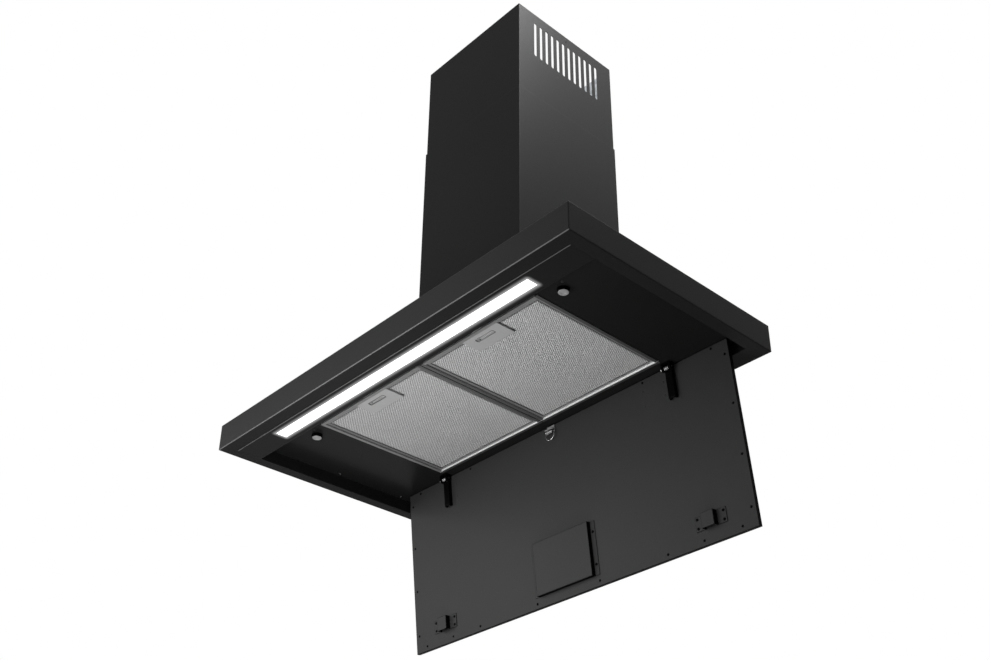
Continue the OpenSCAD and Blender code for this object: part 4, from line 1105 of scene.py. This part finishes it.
def makePlateFold(look):
    low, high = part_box("light_plate")
    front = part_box("canopy_shell")[0].y + look["lip"]
    angles = [math.pi * step / (look["steps"] - 1) for step in range(look["steps"])]
    profile = [(front + look["radius"] * math.cos(angle), low.z - look["radius"] * math.sin(angle))
               for angle in angles]
    shape = bmesh.new()
    start, end = ([shape.verts.new((x, y, z)) for y, z in profile] for x in (low.x, high.x))
    for step in range(look["steps"]):
        following = (step + 1) % look["steps"]
        shape.faces.new((start[step], start[following], end[following], end[step]))
    shape.faces.new(start)
    shape.faces.new(end)
    piece = keepShape(shape, "plate_fold")
    piece.data.materials.append(finishes["foldHighlightBlack"])
    addPiece(piece, "hood_body", "matt_black_steel")


makePlateFold(foldLook)
print("hood: light plate's fold made")


# Lamps, world and floor

lamps = {
    "leftFront": {"place": (-1.6, -1.3, 0.1), "aim": (0, -0.2, 0.1), "size": (0.8, 0.8), "spread": 180,
                  "power": 17},
    "front": {"place": (0.1, -2.2, 0.3), "aim": (0, -0.2, 0.1), "size": (1, 1), "spread": 180, "power": 13},
    "rightTop": {"place": (0.62, -0.13, 1.25), "aim": (0.138, -0.13, 0.45), "size": (0.4, 0.5),
                 "spread": 180, "power": 43},
    "underFront": {"place": (-0.1, -0.75, -0.45), "aim": (0.05, -0.1, 0), "size": (0.5, 0.3),
                   "spread": 180, "power": 4.1},
    "overhead": {"place": (0, -0.3, 3.2), "aim": (0, -0.3, 0), "size": (1.5, 1.5), "spread": 100,
                 "power": 25},
    "underFilters": {"place": (0, -0.28, -1.2), "aim": (0, -0.2, 0), "size": (0.7, 0.3), "spread": 70,
                     "power": 0.55},
}


def makeLamp(name, lamp):
    light = bpy.data.lights.new(name, "AREA")
    light.shape = "RECTANGLE"
    light.size, light.size_y = lamp["size"]
    light.energy = lamp["power"]
    light.spread = math.radians(lamp["spread"])
    thing = addObject(name, light)
    thing.location = lamp["place"]
    direction = Vector(lamp["aim"]) - Vector(lamp["place"])
    thing.rotation_euler = direction.to_track_quat("-Z", "Y").to_euler()
    thing.visible_camera = False


worldLook = {"fill": 0.08}


def makeWorld(look):
    # White where a camera, glossy or transmitted ray sees it, and a weak fill light elsewhere
    world = bpy.data.worlds.new("studio")
    bpy.context.scene.world = world
    world.use_nodes = True
    tree = world.node_tree
    path = tree.nodes.new("ShaderNodeLightPath").outputs
    seen = addMath(tree, "MAXIMUM", path["Is Camera Ray"], path["Is Glossy Ray"])
    seen = addMath(tree, "MAXIMUM", seen, path["Is Transmission Ray"])
    level = addMath(tree, "ADD", addMath(tree, "MULTIPLY", seen, 1 - look["fill"]), look["fill"])
    back = tree.nodes["Background"]
    back.inputs["Color"].default_value = (1, 1, 1, 1)
    link(tree, level, back.inputs["Strength"])


floorLook = {"height": -1.75, "size": 7, "level": 0.85, "roughness": 0.9}


def makeFloor(look):
    # Pale from above, clear from below, where the camera stands
    half = look["size"] / 2
    corners = [(-half, -half), (half, -half), (half, half), (-half, half)]
    mesh = bpy.data.meshes.new("floor")
    mesh.from_pydata([(x, y, look["height"]) for x, y in corners], [], [(0, 1, 2, 3)])
    floor = addObject("floor", mesh)
    material, tree, shader = startMaterial("paleFloor")
    shader.inputs["Base Color"].default_value = rgba(look["level"])
    shader.inputs["Roughness"].default_value = look["roughness"]
    clear = tree.nodes.new("ShaderNodeBsdfTransparent")
    mix = tree.nodes.new("ShaderNodeMixShader")
    link(tree, tree.nodes.new("ShaderNodeNewGeometry").outputs["Backfacing"], mix.inputs[0])
    link(tree, shader.outputs[0], mix.inputs[1])
    link(tree, clear.outputs[0], mix.inputs[2])
    link(tree, mix.outputs[0], tree.nodes["Material Output"].inputs["Surface"])
    mesh.materials.append(material)


for name, lamp in lamps.items():
    makeLamp(name, lamp)
makeWorld(worldLook)
makeFloor(floorLook)
bpy.context.scene.view_settings.view_transform = "Standard"
print("hood: lamps, world and floor set")
